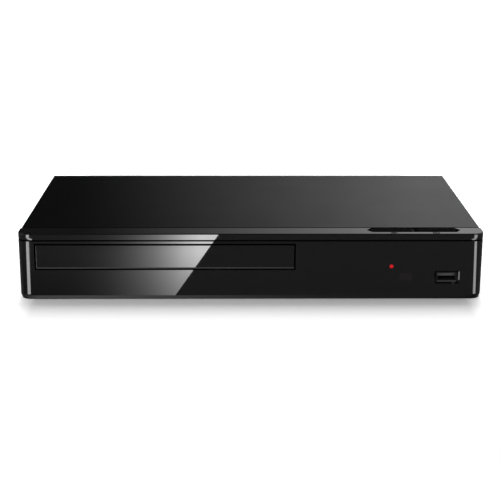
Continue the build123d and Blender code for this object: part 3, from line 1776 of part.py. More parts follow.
# Rear sockets
socket_rear_y = rear_wall_y + seat_gap
with BuildPart() as video_socket:
    video_z = board_top_z + video_height / 2
    with BuildSketch(Plane.XZ.offset(-socket_rear_y)) as video_face:
        with Locations((video_x, video_z)):
            Rectangle(video_width, video_height)
        chamfer(video_face.vertices().group_by(Axis.Y)[0], video_corner)
    extrude(amount=video_depth)
    with BuildSketch(Plane.XZ.offset(-socket_rear_y)) as video_hole:
        with Locations((video_x, video_z)):
            Rectangle(video_width - 2 * video_wall, video_height - 2 * video_wall)
        chamfer(video_hole.vertices().group_by(Axis.Y)[0], video_corner)
    extrude(amount=video_depth - video_back_wall, mode=Mode.SUBTRACT)
    block(
        about(video_x, video_tongue_width / 2),
        (socket_rear_y - video_depth, socket_rear_y - video_tongue_setback),
        about(video_z, video_tongue_height / 2),
    )
save(video_socket, "video_socket")

with BuildPart() as network_socket:
    network_y_span = (socket_rear_y - network_depth, socket_rear_y)
    cavity_low_z = board_top_z + network_height - network_wall - network_cavity_height
    block(
        about(network_x, network_width / 2),
        network_y_span,
        (board_top_z, board_top_z + network_height),
    )
    block(
        about(network_x, network_width / 2 - network_wall),
        (socket_rear_y - network_cavity_depth, socket_rear_y + cut_over),
        (cavity_low_z, cavity_low_z + network_cavity_height),
        Mode.SUBTRACT,
    )
    block(
        about(network_x, network_latch_width / 2),
        (socket_rear_y - network_cavity_depth, socket_rear_y + cut_over),
        (cavity_low_z - network_latch_height, cavity_low_z),
        Mode.SUBTRACT,
    )
save(network_socket, "network_socket")

with BuildPart() as audio_jack:
    jack_tip_y = overall_depth / 2
    block(
        about(audio_x, audio_body_width / 2),
        (rear_wall_y - sheet - audio_body_depth, rear_wall_y - sheet - seat_gap),
        about(audio_z, audio_body_height / 2),
    )
    bar_along_y(
        audio_x,
        (rear_wall_y - sheet - seat_gap, rear_wall_y + seat_gap),
        audio_z,
        audio_flange_radius,
    )
    bar_along_y(audio_x, (rear_wall_y, jack_tip_y), audio_z, audio_barrel_radius)
    with BuildSketch(Plane.XZ.offset(-jack_tip_y)) as jack_ring:
        with Locations((audio_x, audio_z)):
            Circle(audio_barrel_radius - audio_ring_width)
            Circle(audio_barrel_radius - 2 * audio_ring_width, mode=Mode.SUBTRACT)
    extrude(amount=audio_ring_depth, mode=Mode.SUBTRACT)
    bar_along_y(
        audio_x,
        (jack_tip_y - audio_bore_depth, jack_tip_y + cut_over),
        audio_z,
        audio_bore_radius,
        Mode.SUBTRACT,
    )
save(audio_jack, "audio_jack")

# Mains inlet with a two-lobed mouth, and its two pins
inlet_rear_y = rear_wall_y + inlet_flange_thickness + seat_gap
cavity_floor_y = inlet_rear_y - inlet_cavity_depth
with BuildPart() as mains_inlet:
    block(
        about(inlet_x, inlet_width / 2),
        (inlet_rear_y - inlet_depth, inlet_rear_y),
        about(inlet_z, inlet_height / 2),
    )
    with BuildSketch(Plane.XZ.offset(-inlet_rear_y)) as inlet_rim:
        with Locations((inlet_x, inlet_z)):
            Rectangle(inlet_width + 2 * inlet_flange, inlet_height + 2 * inlet_flange)
        fillet(inlet_rim.vertices(), inlet_flange)
    extrude(amount=inlet_flange_thickness)
    with BuildSketch(Plane.XZ.offset(-inlet_rear_y)) as inlet_mouth:
        for side in (-1, 1):
            with Locations((inlet_x + side * inlet_pin_pitch / 2, inlet_z)):
                Circle(inlet_lobe_radius)
    extrude(amount=inlet_cavity_depth, mode=Mode.SUBTRACT)
save(mains_inlet, "mains_inlet")

with BuildPart() as mains_pins:
    for side in (-1, 1):
        pin_x = inlet_x + side * inlet_pin_pitch / 2
        bar_along_y(pin_x, (cavity_floor_y, inlet_rear_y - inlet_pin_setback), inlet_z, inlet_pin_radius)
save(mains_pins, "mains_pins")

# Flat cables and the connectors they plug into
front_top_z = front_board_z + board_thickness
flex_top_z = board_top_z + connector_height
with BuildPart() as cable_connectors:
    along_x = (connector_width / 2, connector_depth / 2)
    along_y = (connector_depth / 2, connector_width / 2)
    for x, y, z, (half_x, half_y) in (
        (front_ribbon_x, front_connector_y, front_top_z, along_x),
        (front_ribbon_x, main_connector_y, board_top_z, along_x),
        (main_power_connector_x, power_cable_y, board_top_z, along_y),
        (power_connector_x, power_cable_y, board_top_z, along_y),
        (flex_connector_x, flex_y, board_top_z, along_y),
    ):
        block(about(x, half_x), about(y, half_y), (z, z + connector_height))
save(cable_connectors, "cable_connectors")


# A flat cable drawn as a bent line in the plane of the sketch
def ribbon(plane, points):
    with BuildSketch(plane) as cable_edge:
        with BuildLine():
            FilletPolyline(*points, radius=ribbon_bend)
        trace(line_width=ribbon_thickness)
    extrude(cable_edge.sketch, amount=ribbon_width / 2, both=True)


with BuildPart() as flat_cables:
    crest_z = front_top_z + connector_height + ribbon_rise
    ribbon(
        Plane.YZ.offset(front_ribbon_x),
        [
            (front_connector_y, front_top_z + connector_height),
            (front_connector_y, crest_z),
            (main_connector_y, crest_z),
            (main_connector_y, flex_top_z),
        ],
    )
    ribbon(
        Plane.XZ.offset(-power_cable_y),
        [
            (main_power_connector_x, flex_top_z),
            (main_power_connector_x, flex_top_z + ribbon_rise),
            (power_connector_x, flex_top_z + ribbon_rise),
            (power_connector_x, flex_top_z),
        ],
    )
save(flat_cables, "flat_cables")

with BuildPart() as pickup_flex:
    flex_low_z = middle(floor_top_z, frame_bottom_z)
    flex_high_z = pickup_bottom_z - ribbon_thickness / 2
    ribbon(
        Plane.XZ.offset(-flex_y),
        [
            (flex_connector_x, flex_top_z),
            (flex_connector_x, flex_top_z + flex_rise),
            (flex_drop_x, flex_top_z + flex_rise),
            (flex_drop_x, flex_low_z),
            (flex_turn_x, flex_low_z),
            (flex_turn_x, flex_high_z),
            (flex_end_x, flex_high_z),
        ],
    )
save(pickup_flex, "pickup_flex")

# Screws: cover at the rear, loader frame, boards
with BuildPart() as cover_screws:
    for x in (-1, 0, 1):
        screw_x_place = x * (cover_half_width - foot_inset_x)
        seat = Location((screw_x_place, cover_rear_y, cover_top_z - cover_flange / 2), (-90, 0, 0))
        screw_at(seat, screw_length)
save(cover_screws, "cover_screws")

with BuildPart() as loader_screws:
    for x, y in frame_lugs:
        screw_at(Location((x, y, frame_floor_z)), frame_floor_z - floor_z)
save(loader_screws, "loader_screws")

with BuildPart() as board_screws:
    for x, y in main_screws + power_screws:
        screw_at(Location((x, y, board_top_z)), screw_length)
    for x, y in front_screws:
        screw_at(Location((x, y, front_top_z)), screw_length)
    for x, y in button_screws:
        screw_at(Location((x, y, button_board_z), (180, 0, 0)), screw_length)
save(board_screws, "board_screws")
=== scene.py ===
import json
import math
import random

import bmesh
import bpy
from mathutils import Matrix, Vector
from mathutils.bvhtree import BVHTree


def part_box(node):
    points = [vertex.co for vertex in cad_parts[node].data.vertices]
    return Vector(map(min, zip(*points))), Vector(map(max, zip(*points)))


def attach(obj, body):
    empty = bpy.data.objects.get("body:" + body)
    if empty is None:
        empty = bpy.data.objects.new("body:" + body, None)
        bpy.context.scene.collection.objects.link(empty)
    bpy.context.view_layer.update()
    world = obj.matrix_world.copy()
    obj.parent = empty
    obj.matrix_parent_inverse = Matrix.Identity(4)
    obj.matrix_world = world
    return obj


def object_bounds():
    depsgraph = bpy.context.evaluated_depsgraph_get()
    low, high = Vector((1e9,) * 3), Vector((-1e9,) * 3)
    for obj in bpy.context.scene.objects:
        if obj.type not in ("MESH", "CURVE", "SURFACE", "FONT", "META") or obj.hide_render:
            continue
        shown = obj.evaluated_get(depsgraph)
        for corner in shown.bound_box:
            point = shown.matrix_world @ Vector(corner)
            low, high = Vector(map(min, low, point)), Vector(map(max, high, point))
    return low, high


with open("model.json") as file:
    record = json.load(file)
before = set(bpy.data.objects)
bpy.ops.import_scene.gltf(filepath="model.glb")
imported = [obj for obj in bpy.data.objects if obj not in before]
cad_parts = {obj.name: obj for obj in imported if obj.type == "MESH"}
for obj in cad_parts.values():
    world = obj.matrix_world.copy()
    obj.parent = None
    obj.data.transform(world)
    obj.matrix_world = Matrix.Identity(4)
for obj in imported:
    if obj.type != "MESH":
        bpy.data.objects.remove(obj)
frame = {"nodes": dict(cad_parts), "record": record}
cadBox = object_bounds()
nodes = frame["nodes"]
mm = 0.001
print("frame loaded with", len(nodes), "pieces")

scene = bpy.context.scene
scene.view_settings.view_transform = "Standard"

# colour, metal share, roughness band, cloud and grain sizes in mm, bump strength and depth in mm
finishes = {
    "gloss_black": {
        "colour": (0.0046, 0.0046, 0.0049), "rough": (0.02, 0.04), "cloudMm": 16, "grainMm": 5,
        "bump": 0.012, "depthMm": 0.05,
    },
    "painted_steel": {
        "colour": (0.002, 0.002, 0.0021), "ior": 1.42, "rough": (0.362, 0.382), "cloudMm": 30,
        "grainMm": 0.45, "bump": 0.12, "depthMm": 0.03, "edgeMm": 0.5, "edgeLift": 3.0,
    },
    "zinc_steel": {
        "colour": (0.56, 0.57, 0.575), "metal": 1.0, "rough": (0.28, 0.44), "cloudMm": 6,
        "grainMm": 0.6, "bump": 0.05, "depthMm": 0.03, "pattern": "spangle", "patternMm": 5,
        "drift": 0.16, "edgeMm": 0.3, "edgeLift": 1.3,
    },
    "rubber": {
        "colour": (0.022, 0.022, 0.023), "rough": (0.7, 0.88), "cloudMm": 4, "grainMm": 0.35,
        "bump": 0.35, "depthMm": 0.05, "drift": 0.25,
    },
    "screw_steel": {
        "colour": (0.1, 0.1, 0.105), "metal": 1.0, "rough": (0.26, 0.42), "cloudMm": 1.2,
        "grainMm": 0.2, "bump": 0.1, "depthMm": 0.02, "drift": 0.2, "edgeMm": 0.15, "edgeLift": 3.0,
    },
    "black_plastic": {
        "colour": (0.02, 0.02, 0.021), "rough": (0.42, 0.56), "cloudMm": 12, "grainMm": 0.3,
        "bump": 0.3, "depthMm": 0.02, "drift": 0.2, "edgeMm": 0.25, "edgeLift": 1.6,
    },
    "white_plastic": {
        "colour": (0.74, 0.73, 0.69), "rough": (0.3, 0.42), "cloudMm": 5, "grainMm": 0.5, "bump": 0.06,
        "depthMm": 0.02, "drift": 0.05,
    },
    "dark_window": {
        "colour": (0.0112, 0.0085, 0.009), "rough": (0.04, 0.08), "cloudMm": 5, "grainMm": 2,
        "bump": 0.01, "depthMm": 0.02, "drift": 0.3,
    },
    "red_lamp": {
        "colour": (0.25, 0.005, 0.007), "rough": (0.12, 0.2), "cloudMm": 0.6, "grainMm": 0.3,
        "bump": 0.05, "depthMm": 0.01, "drift": 0.15, "glow": (0.87, 0.003, 0.012), "glowPower": 0.44,
    },
    "bright_steel": {
        "colour": (0.62, 0.62, 0.63), "metal": 1.0, "rough": (0.12, 0.24), "cloudMm": 2,
        "grainMm": 0.15, "bump": 0.05, "depthMm": 0.01, "drift": 0.08,
    },
    "motor_steel": {
        "colour": (0.5, 0.5, 0.515), "metal": 1.0, "rough": (0.22, 0.36), "cloudMm": 3, "grainMm": 0.25,
        "bump": 0.06, "depthMm": 0.02, "drift": 0.12, "edgeMm": 0.2, "edgeLift": 1.3,
    },
    "cast_alloy": {
        "colour": (0.43, 0.44, 0.45), "metal": 1.0, "rough": (0.4, 0.58), "cloudMm": 2.5,
        "grainMm": 0.3, "bump": 0.3, "depthMm": 0.03, "drift": 0.15,
    },
    "lens_glass": {
        "colour": (0.16, 0.2, 0.42), "rough": (0.01, 0.03), "cloudMm": 1.5, "grainMm": 1, "bump": 0.005,
        "depthMm": 0.01, "drift": 0.4, "clear": 0.45,
    },
    "board_green": {
        "colour": (0.012, 0.085, 0.032), "rough": (0.3, 0.42), "cloudMm": 9, "grainMm": 0.4,
        "bump": 0.1, "depthMm": 0.02, "pattern": "tracks", "patternMm": 1.1,
        "second": (0.03, 0.19, 0.07),
    },
    "board_tan": {
        "colour": (0.36, 0.25, 0.11), "rough": (0.42, 0.55), "cloudMm": 8, "grainMm": 0.4, "bump": 0.12,
        "depthMm": 0.02, "pattern": "tracks", "patternMm": 2.4, "second": (0.44, 0.31, 0.15),
    },
    "chip_black": {
        "colour": (0.022, 0.022, 0.024), "rough": (0.48, 0.62), "cloudMm": 2.5, "grainMm": 0.2,
        "bump": 0.25, "depthMm": 0.02, "drift": 0.25,
    },
    "sink_alloy": {
        "colour": (0.11, 0.11, 0.115), "metal": 1.0, "rough": (0.38, 0.5), "cloudMm": 5, "grainMm": 0.3,
        "bump": 0.15, "depthMm": 0.02, "drift": 0.15, "edgeMm": 0.2, "edgeLift": 2.2,
    },
    "can_sleeve": {
        "colour": (0.018, 0.03, 0.085), "rough": (0.28, 0.4), "cloudMm": 3, "grainMm": 0.5,
        "bump": 0.08, "depthMm": 0.02, "drift": 0.25,
    },
    "coil_tape": {
        "colour": (0.55, 0.4, 0.06), "rough": (0.25, 0.38), "cloudMm": 4, "grainMm": 0.6, "bump": 0.15,
        "depthMm": 0.03, "pattern": "wraps", "patternMm": 2.6, "second": (0.46, 0.32, 0.04),
    },
    "copper_wire": {
        "colour": (0.55, 0.22, 0.07), "metal": 0.9, "rough": (0.22, 0.34), "cloudMm": 3, "grainMm": 0.4,
        "bump": 0.4, "depthMm": 0.1, "pattern": "wraps", "patternMm": 0.7, "second": (0.3, 0.1, 0.03),
    },
    "socket_shell": {
        "colour": (0.6, 0.6, 0.605), "metal": 1.0, "rough": (0.22, 0.34), "cloudMm": 2, "grainMm": 0.25,
        "bump": 0.06, "depthMm": 0.01, "drift": 0.1, "edgeMm": 0.12, "edgeLift": 1.2,
    },
    "contact_brass": {
        "colour": (0.72, 0.55, 0.25), "metal": 1.0, "rough": (0.16, 0.28), "cloudMm": 1.5,
        "grainMm": 0.2, "bump": 0.06, "depthMm": 0.01, "drift": 0.12,
    },
    "cable_white": {
        "colour": (0.68, 0.68, 0.66), "rough": (0.34, 0.46), "cloudMm": 6, "grainMm": 0.5, "bump": 0.08,
        "depthMm": 0.03, "pattern": "lanes", "patternMm": 1.0, "second": (0.52, 0.53, 0.54),
    },
    "flex_amber": {
        "colour": (0.42, 0.16, 0.025), "rough": (0.24, 0.36), "cloudMm": 5, "grainMm": 0.4,
        "bump": 0.06, "depthMm": 0.02, "pattern": "lanes", "patternMm": 0.8,
        "second": (0.58, 0.28, 0.07),
    },
    "magnet_grey": {
        "colour": (0.36, 0.36, 0.37), "metal": 1.0, "rough": (0.3, 0.42), "cloudMm": 2, "grainMm": 0.3,
        "bump": 0.08, "depthMm": 0.02, "drift": 0.12,
    },
    "dark_shell": {
        "colour": (0.035, 0.035, 0.037), "metal": 0.5, "rough": (0.32, 0.45), "cloudMm": 2,
        "grainMm": 0.25, "bump": 0.08, "depthMm": 0.01, "drift": 0.2, "edgeMm": 0.1, "edgeLift": 2.0,
    },
    # near-black matt: real print on the signs, the matt ring at the data socket, and painted shade lining the
    # groove
    "dark_print_and_shade": {
        "colour": (0.0025, 0.0025, 0.0025), "spec": 0.1, "rough": (0.6, 0.75), "cloudMm": 1,
        "grainMm": 0.1, "bump": 0.1, "depthMm": 0.01, "drift": 0.2,
    },
    # grey painted lighter than the black parts, standing for light on the data socket's tongue and lower lip:
    # painted highlight
    "painted_lit_grey": {
        "colour": (0.085, 0.085, 0.09), "rough": (0.35, 0.5), "cloudMm": 1.5, "grainMm": 0.2,
        "bump": 0.1, "depthMm": 0.02, "drift": 0.2,
    },
    "cream_part": {
        "colour": (0.5, 0.42, 0.3), "rough": (0.4, 0.55), "cloudMm": 1, "grainMm": 0.2, "bump": 0.1,
        "depthMm": 0.02, "drift": 0.3,
    },
}

# what a finish has where its own lines don't say, and how its noise is spread
finishPlan = {"metal": 0.0, "ior": 1.5, "spec": 0.5, "clear": 0.0, "drift": 0.12,
              "cloudDetail": 3.0, "grainDetail": 2.0, "cloudBand": (0.3, 0.7)}
# bend of wound wraps; for board tracks the edge of a line, patches in pitches, turns and bare places
patternPlan = {"wrapBend": 0.4, "lineBand": (0.45, 0.55), "patchPitches": 7,
               "turnBand": (0.48, 0.52), "bareBand": (0.3, 0.34)}
edgePlan = {"samples": 4, "turnBand": (0.99, 0.8)}
waveScale = 0.314   # makes one band of the wave as long as the size asked for


def link(tree, source, target):
    tree.links.new(source, target)


def addNoise(tree, place, sizeMm, detail):
    noise = tree.nodes.new("ShaderNodeTexNoise")
    noise.inputs["Scale"].default_value = 1 / (sizeMm * mm)
    noise.inputs["Detail"].default_value = detail
    link(tree, place.outputs["Object"], noise.inputs["Vector"])
    return noise.outputs["Fac"]


def addRange(tree, source, fromLow, fromHigh, toLow, toHigh):
    spread = tree.nodes.new("ShaderNodeMapRange")
    limits = {"From Min": fromLow, "From Max": fromHigh, "To Min": toLow, "To Max": toHigh}
    for name, value in limits.items():
        spread.inputs[name].default_value = value
    link(tree, source, spread.inputs["Value"])
    return spread.outputs["Result"]


def addMath(tree, operation, *sources):
    node = tree.nodes.new("ShaderNodeMath")
    node.operation = operation
    for source, socket in zip(sources, node.inputs):
        link(tree, source, socket)
    return node.outputs[0]


def addMix(tree, share, first, second):
    mix = tree.nodes.new("ShaderNodeMix")
    mix.data_type = "RGBA"
    link(tree, share, mix.inputs["Factor"])
    for socket, value in ((mix.inputs[6], first), (mix.inputs[7], second)):   # the two colours
        if isinstance(value, bpy.types.NodeSocket):
            link(tree, value, socket)
        else:
            socket.default_value = (*value, 1)
    return mix.outputs[2]


def addWave(tree, place, direction, sizeMm, bend):
    wave = tree.nodes.new("ShaderNodeTexWave")
    wave.bands_direction = direction
    wave.inputs["Scale"].default_value = waveScale / (sizeMm * mm)
    wave.inputs["Distortion"].default_value = bend
    link(tree, place.outputs["Object"], wave.inputs["Vector"])
    return wave.outputs["Fac"]


def addCells(tree, place, sizeMm):
    cells = tree.nodes.new("ShaderNodeTexVoronoi")
    cells.inputs["Scale"].default_value = 1 / (sizeMm * mm)
    link(tree, place.outputs["Object"], cells.inputs["Vector"])
    split = tree.nodes.new("ShaderNodeSeparateColor")
    link(tree, cells.outputs["Color"], split.inputs["Color"])
    return split.outputs["Red"], split.outputs["Green"]


def trackShare(tree, place, size):
    waves = [addWave(tree, place, axis, size, 0.0) for axis in "XY"]
    lines = [addRange(tree, wave, *patternPlan["lineBand"], 0, 1) for wave in waves]
    turn, bare = addCells(tree, place, size * patternPlan["patchPitches"])
    sides = tree.nodes.new("ShaderNodeMix")
    link(tree, addRange(tree, turn, *patternPlan["turnBand"], 0, 1), sides.inputs["Factor"])
    link(tree, lines[0], sides.inputs["A"])
    link(tree, lines[1], sides.inputs["B"])
    kept = addRange(tree, bare, *patternPlan["bareBand"], 0, 1)
    return addMath(tree, "MULTIPLY", sides.outputs[0], kept)


def patternShare(tree, place, look):
    kind, size = look["pattern"], look["patternMm"]
    if kind == "spangle":
        return addCells(tree, place, size)[0]
    if kind == "wraps":
        return addWave(tree, place, "Z", size, patternPlan["wrapBend"])
    if kind == "lanes":
        return addWave(tree, place, "DIAGONAL", size, 0.0)
    return trackShare(tree, place, size)


# mask of the rounded edges, where a paler colour is painted: partly wear, partly painted highlight
def edgeShare(tree, widthMm):
    rounded = tree.nodes.new("ShaderNodeBevel")
    rounded.samples = edgePlan["samples"]
    rounded.inputs["Radius"].default_value = widthMm * mm
    flat = tree.nodes.new("ShaderNodeNewGeometry")
    dot = tree.nodes.new("ShaderNodeVectorMath")
    dot.operation = "DOT_PRODUCT"
    link(tree, rounded.outputs["Normal"], dot.inputs[0])
    link(tree, flat.outputs["Normal"], dot.inputs[1])
    return addRange(tree, dot.outputs["Value"], *edgePlan["turnBand"], 0, 1)


def makeFinish(name, look):
    look = {**finishPlan, **look}
    material = bpy.data.materials.new(name)
    material.use_nodes = True
    tree = material.node_tree
    shader = tree.nodes["Principled BSDF"]
    shader.inputs["Metallic"].default_value = look["metal"]
    shader.inputs["IOR"].default_value = look["ior"]
    shader.inputs["Specular IOR Level"].default_value = look["spec"]
    shader.inputs["Transmission Weight"].default_value = look["clear"]
    place = tree.nodes.new("ShaderNodeTexCoord")
    cloud = addNoise(tree, place, look["cloudMm"], look["cloudDetail"])
    grain = addNoise(tree, place, look["grainMm"], look["grainDetail"])
    link(tree, addRange(tree, cloud, *look["cloudBand"], *look["rough"]), shader.inputs["Roughness"])
    lowColour, highColour = ([c * (1 + s * look["drift"]) for c in look["colour"]] for s in (-1, 1))
    if "second" in look:
        shade = addMix(tree, cloud, lowColour, highColour)
        shade = addMix(tree, patternShare(tree, place, look), shade, look["second"])
    elif "pattern" in look:
        shade = addMix(tree, patternShare(tree, place, look), lowColour, highColour)
    else:
        shade = addMix(tree, cloud, lowColour, highColour)
    if "edgeMm" in look:    # edges go paler: partly wear, partly a painted highlight where edges would catch light
        wornAndLitEdge = [min(1, c * look["edgeLift"]) for c in look["colour"]]
        shade = addMix(tree, edgeShare(tree, look["edgeMm"]), shade, wornAndLitEdge)
    link(tree, shade, shader.inputs["Base Color"])
    bump = tree.nodes.new("ShaderNodeBump")
    bump.inputs["Strength"].default_value = look["bump"]
    bump.inputs["Distance"].default_value = look["depthMm"] * mm
    link(tree, grain, bump.inputs["Height"])
    link(tree, bump.outputs["Normal"], shader.inputs["Normal"])
    if "glow" in look:
        shader.inputs["Emission Color"].default_value = (*look["glow"], 1)
        shader.inputs["Emission Strength"].default_value = look["glowPower"]
    return material


materials = {name: makeFinish(name, look) for name, look in finishes.items()}
for entry in frame["record"]["subparts"]:
    piece = nodes[entry["node"]]
    piece.data.materials.clear()
    piece.data.materials.append(materials[entry["material_slot"]])
nodes["front_data_socket"].data.materials[0] = materials["dark_shell"]
print("finishes on the built pieces:", len(materials))


def addPiece(name, mesh, finish, body, roundMm=0.0):
    piece = bpy.data.objects.new(name, mesh)
    scene.collection.objects.link(piece)
    piece.data.materials.append(materials[finish])
    if roundMm:
        bevel = piece.modifiers.new("edges", "BEVEL")
        bevel.width = roundMm * mm
        bevel.segments = 2
        bevel.limit_method = "ANGLE"
    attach(piece, body)
    return piece


def meshOf(build, name):
    mesh = bpy.data.meshes.new(name)
    build.to_mesh(mesh)
    build.free()
    return mesh


def blocksMesh(name, blocks):
    build = bmesh.new()
    for low, high in blocks:
        low = Vector(low) * mm
        high = Vector(high) * mm
        made = bmesh.ops.create_cube(build, size=1)
        for vert in made["verts"]:
            vert.co = Vector([(a + b) / 2 + c * (b - a) for a, b, c in zip(low, high, vert.co)])
    return meshOf(build, name)


def platesMesh(name, outlines, lowZ, highZ):
    build = bmesh.new()
    for outline in outlines:
        face = build.faces.new([build.verts.new(Vector((x, y, lowZ)) * mm) for x, y in outline])
        made = bmesh.ops.extrude_face_region(build, geom=[face])
        lift = [part for part in made["geom"] if isinstance(part, bmesh.types.BMVert)]
        bmesh.ops.translate(build, vec=(0, 0, (highZ - lowZ) * mm), verts=lift)
    bmesh.ops.recalc_face_normals(build, faces=build.faces)
    return meshOf(build, name)


# signs in front of the two buttons, open and standby; heights are counted from y
signPlan = {"openX": 95.4, "standbyX": 123.8, "y": -87.5, "size": 5.0, "squeeze": 0.68, "line": 1.0,
            "thick": 0.04, "sink": 0.01, "wedgeLow": -0.1, "barHigh": -0.7, "stemLow": 0.2, "stemProud": 0.3,
            "ringDeg": (125, 415), "ringSteps": 22}


def ringOutline(x, radius):
    first, last = signPlan["ringDeg"]
    steps = signPlan["ringSteps"]
    angles = [math.radians(first + (last - first) * i / steps) for i in range(steps + 1)]
    radii = (radius, radius - signPlan["line"])
    outer, inner = ([(x + r * math.cos(a), r * math.sin(a)) for a in angles] for r in radii)
    return outer + inner[::-1]


def barOutline(lowX, highX, lowY, highY):
    return [(lowX, lowY), (highX, lowY), (highX, highY), (lowX, highY)]


def addSign(name, outlines):
    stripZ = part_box("front_panel")[1].z / mm
    placed = [[(x, signPlan["y"] + y * signPlan["squeeze"]) for x, y in outline] for outline in outlines]
    mesh = platesMesh(name, placed, stripZ - signPlan["sink"], stripZ + signPlan["thick"])
    addPiece(name, mesh, "dark_print_and_shade", "chassis")


half, line = signPlan["size"] / 2, signPlan["line"]
x, wedgeLow, barHigh = signPlan["openX"], signPlan["wedgeLow"], signPlan["barHigh"]
wedge = [(x - half, wedgeLow), (x + half, wedgeLow), (x, half)]
addSign("openSign", [wedge, barOutline(x - half, x + half, barHigh - line, barHigh)])
x = signPlan["standbyX"]
stem = barOutline(x - line / 2, x + line / 2, signPlan["stemLow"], half + signPlan["stemProud"])
addSign("standbySign", [ringOutline(x, half), stem])
print("signs placed")


# dark matt sheet at the back and on the floor of the groove round the front, painted shade that darkens the
# groove
grooveShadePlan = {"depth": 1.72, "lowZ": 40.74, "highZ": 41.76, "radius": 7.0, "steps": 10, "floorReach": 1.5}


def grooveShadePath(inset):
    low, high = (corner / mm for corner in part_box("front_panel"))
    endRound, steps = grooveShadePlan["radius"], grooveShadePlan["steps"]
    radius = endRound - inset
    path = [(low.x + inset, high.y)]
    for side, start in ((-1, 180), (1, 270)):
        centreX, centreY = (high.x - endRound) * side, low.y + endRound
        for i in range(steps + 1):
            angle = math.radians(start + 90 * i / steps)
            path.append((centreX + radius * math.cos(angle), centreY + radius * math.sin(angle)))
    path.append((high.x - inset, high.y))
    return path


backPath = grooveShadePath(grooveShadePlan["depth"])
edgePath = grooveShadePath(grooveShadePlan["depth"] - grooveShadePlan["floorReach"])
levels = ((backPath, grooveShadePlan["highZ"]), (backPath, grooveShadePlan["lowZ"]), (edgePath, grooveShadePlan["lowZ"]))
build = bmesh.new()
rows = [[build.verts.new(Vector((x, y, z)) * mm) for x, y in path] for path, z in levels]
for upper, lower in zip(rows, rows[1:]):
    for i in range(len(upper) - 1):
        build.faces.new((upper[i], upper[i + 1], lower[i + 1], lower[i]))
addPiece("grooveShadeSheet", meshOf(build, "grooveShadeSheet"), "dark_print_and_shade", "chassis")
print("groove lined")

# rows of contacts in the sockets
contactPlan = {
    "data": {"x": 131.8, "pitch": 2.2, "width": 1.1, "count": 4, "frontY": -85.2, "rearY": -77.0,
             "lowZ": 15.26, "highZ": 15.38, "round": 0.03},
    "network": {"x": 57.0, "pitch": 1.02, "width": 0.36, "count": 8, "frontY": 70.2, "rearY": 80.2,
                "lowZ": 22.5, "highZ": 22.9, "round": 0.08},
    "video": {"x": 40.0, "pitch": 1.0, "width": 0.4, "count": 10, "frontY": 72.9, "rearY": 76.9,
              "lowZ": 14.34, "highZ": 14.42, "round": 0.02},
}


def addContacts(socket):
    plan = contactPlan[socket]
    blocks = []
    for i in range(plan["count"]):
        x = plan["x"] + (i - (plan["count"] - 1) / 2) * plan["pitch"]
        low = (x - plan["width"] / 2, plan["frontY"], plan["lowZ"])
        high = (x + plan["width"] / 2, plan["rearY"], plan["highZ"])
        blocks.append((low, high))
    name = socket + "Contacts"
    addPiece(name, blocksMesh(name, blocks), "contact_brass", "chassis", plan["round"])


# tongue of the data socket, a nose across and a cheek at each side; its grey is painted light on a black
# tongue
tonguePlan = {"halfWidth": 6.1, "frontY": -85.55, "rearY": -81.0, "lowZ": 15.42, "highZ": 17.22,
              "cheek": 0.05, "nose": 0.3, "round": 0.08}
dataX, reach = contactPlan["data"]["x"], tonguePlan["halfWidth"]
lowZ, highZ = tonguePlan["lowZ"], tonguePlan["highZ"]
noseY = tonguePlan["frontY"] + tonguePlan["nose"]
tongue = [((dataX - reach, tonguePlan["frontY"], lowZ), (dataX + reach, noseY, highZ))]
for side in (-1, 1):
    edges = (dataX + side * (reach - tonguePlan["nose"]), dataX + side * (reach + tonguePlan["cheek"]))
    tongue.append(((min(edges), noseY, lowZ), (max(edges), tonguePlan["rearY"], highZ)))
mesh = blocksMesh("dataTongue", tongue)
addPiece("dataTongue", mesh, "painted_lit_grey", "chassis", tonguePlan["round"])
addContacts("data")

# matt ring round the data socket's shell, and a grey lower lip painted as the highlight on the mouth's lower
# bevel; the lip's edge in Y and Z
mouthPlan = {
    "z": 15.6, "outerX": 7.75, "outerZ": 3.4, "innerX": 6.6, "innerZ": 2.9, "frontY": -88.68, "rearY": -88.58,
    "lipX": (125.1, 138.5),
    "lipEdge": [(-88.75, 12.98), (-89.5, 12.66), (-89.62, 12.66),
                (-89.62, 12.54), (-89.5, 12.5), (-88.75, 12.84)],
}
outerX, outerZ, innerX, innerZ = (mouthPlan[key] for key in ("outerX", "outerZ", "innerX", "innerZ"))
spans = [
    ((-outerX, outerX), (-outerZ, -innerZ)), ((-outerX, outerX), (innerZ, outerZ)),
    ((-outerX, -innerX), (-innerZ, innerZ)), ((innerX, outerX), (-innerZ, innerZ)),
]
ring = []
for alongX, alongZ in spans:
    low = (dataX + alongX[0], mouthPlan["frontY"], mouthPlan["z"] + alongZ[0])
    high = (dataX + alongX[1], mouthPlan["rearY"], mouthPlan["z"] + alongZ[1])
    ring.append((low, high))
addPiece("mouthRing", blocksMesh("mouthRing", ring), "dark_print_and_shade", "chassis")
build = bmesh.new()
lipEdge = mouthPlan["lipEdge"]
ends = [[build.verts.new(Vector((x, y, z)) * mm) for y, z in lipEdge] for x in mouthPlan["lipX"]]
for i in range(len(lipEdge)):
    build.faces.new((ends[0][i - 1], ends[0][i], ends[1][i], ends[1][i - 1]))
build.faces.new(ends[0])
build.faces.new(ends[1][::-1])
bmesh.ops.recalc_face_normals(build, faces=build.faces)
addPiece("mouthLipHighlight", meshOf(build, "mouthLipHighlight"), "painted_lit_grey", "chassis")
addContacts("network")
addContacts("video")
print("socket contacts placed")

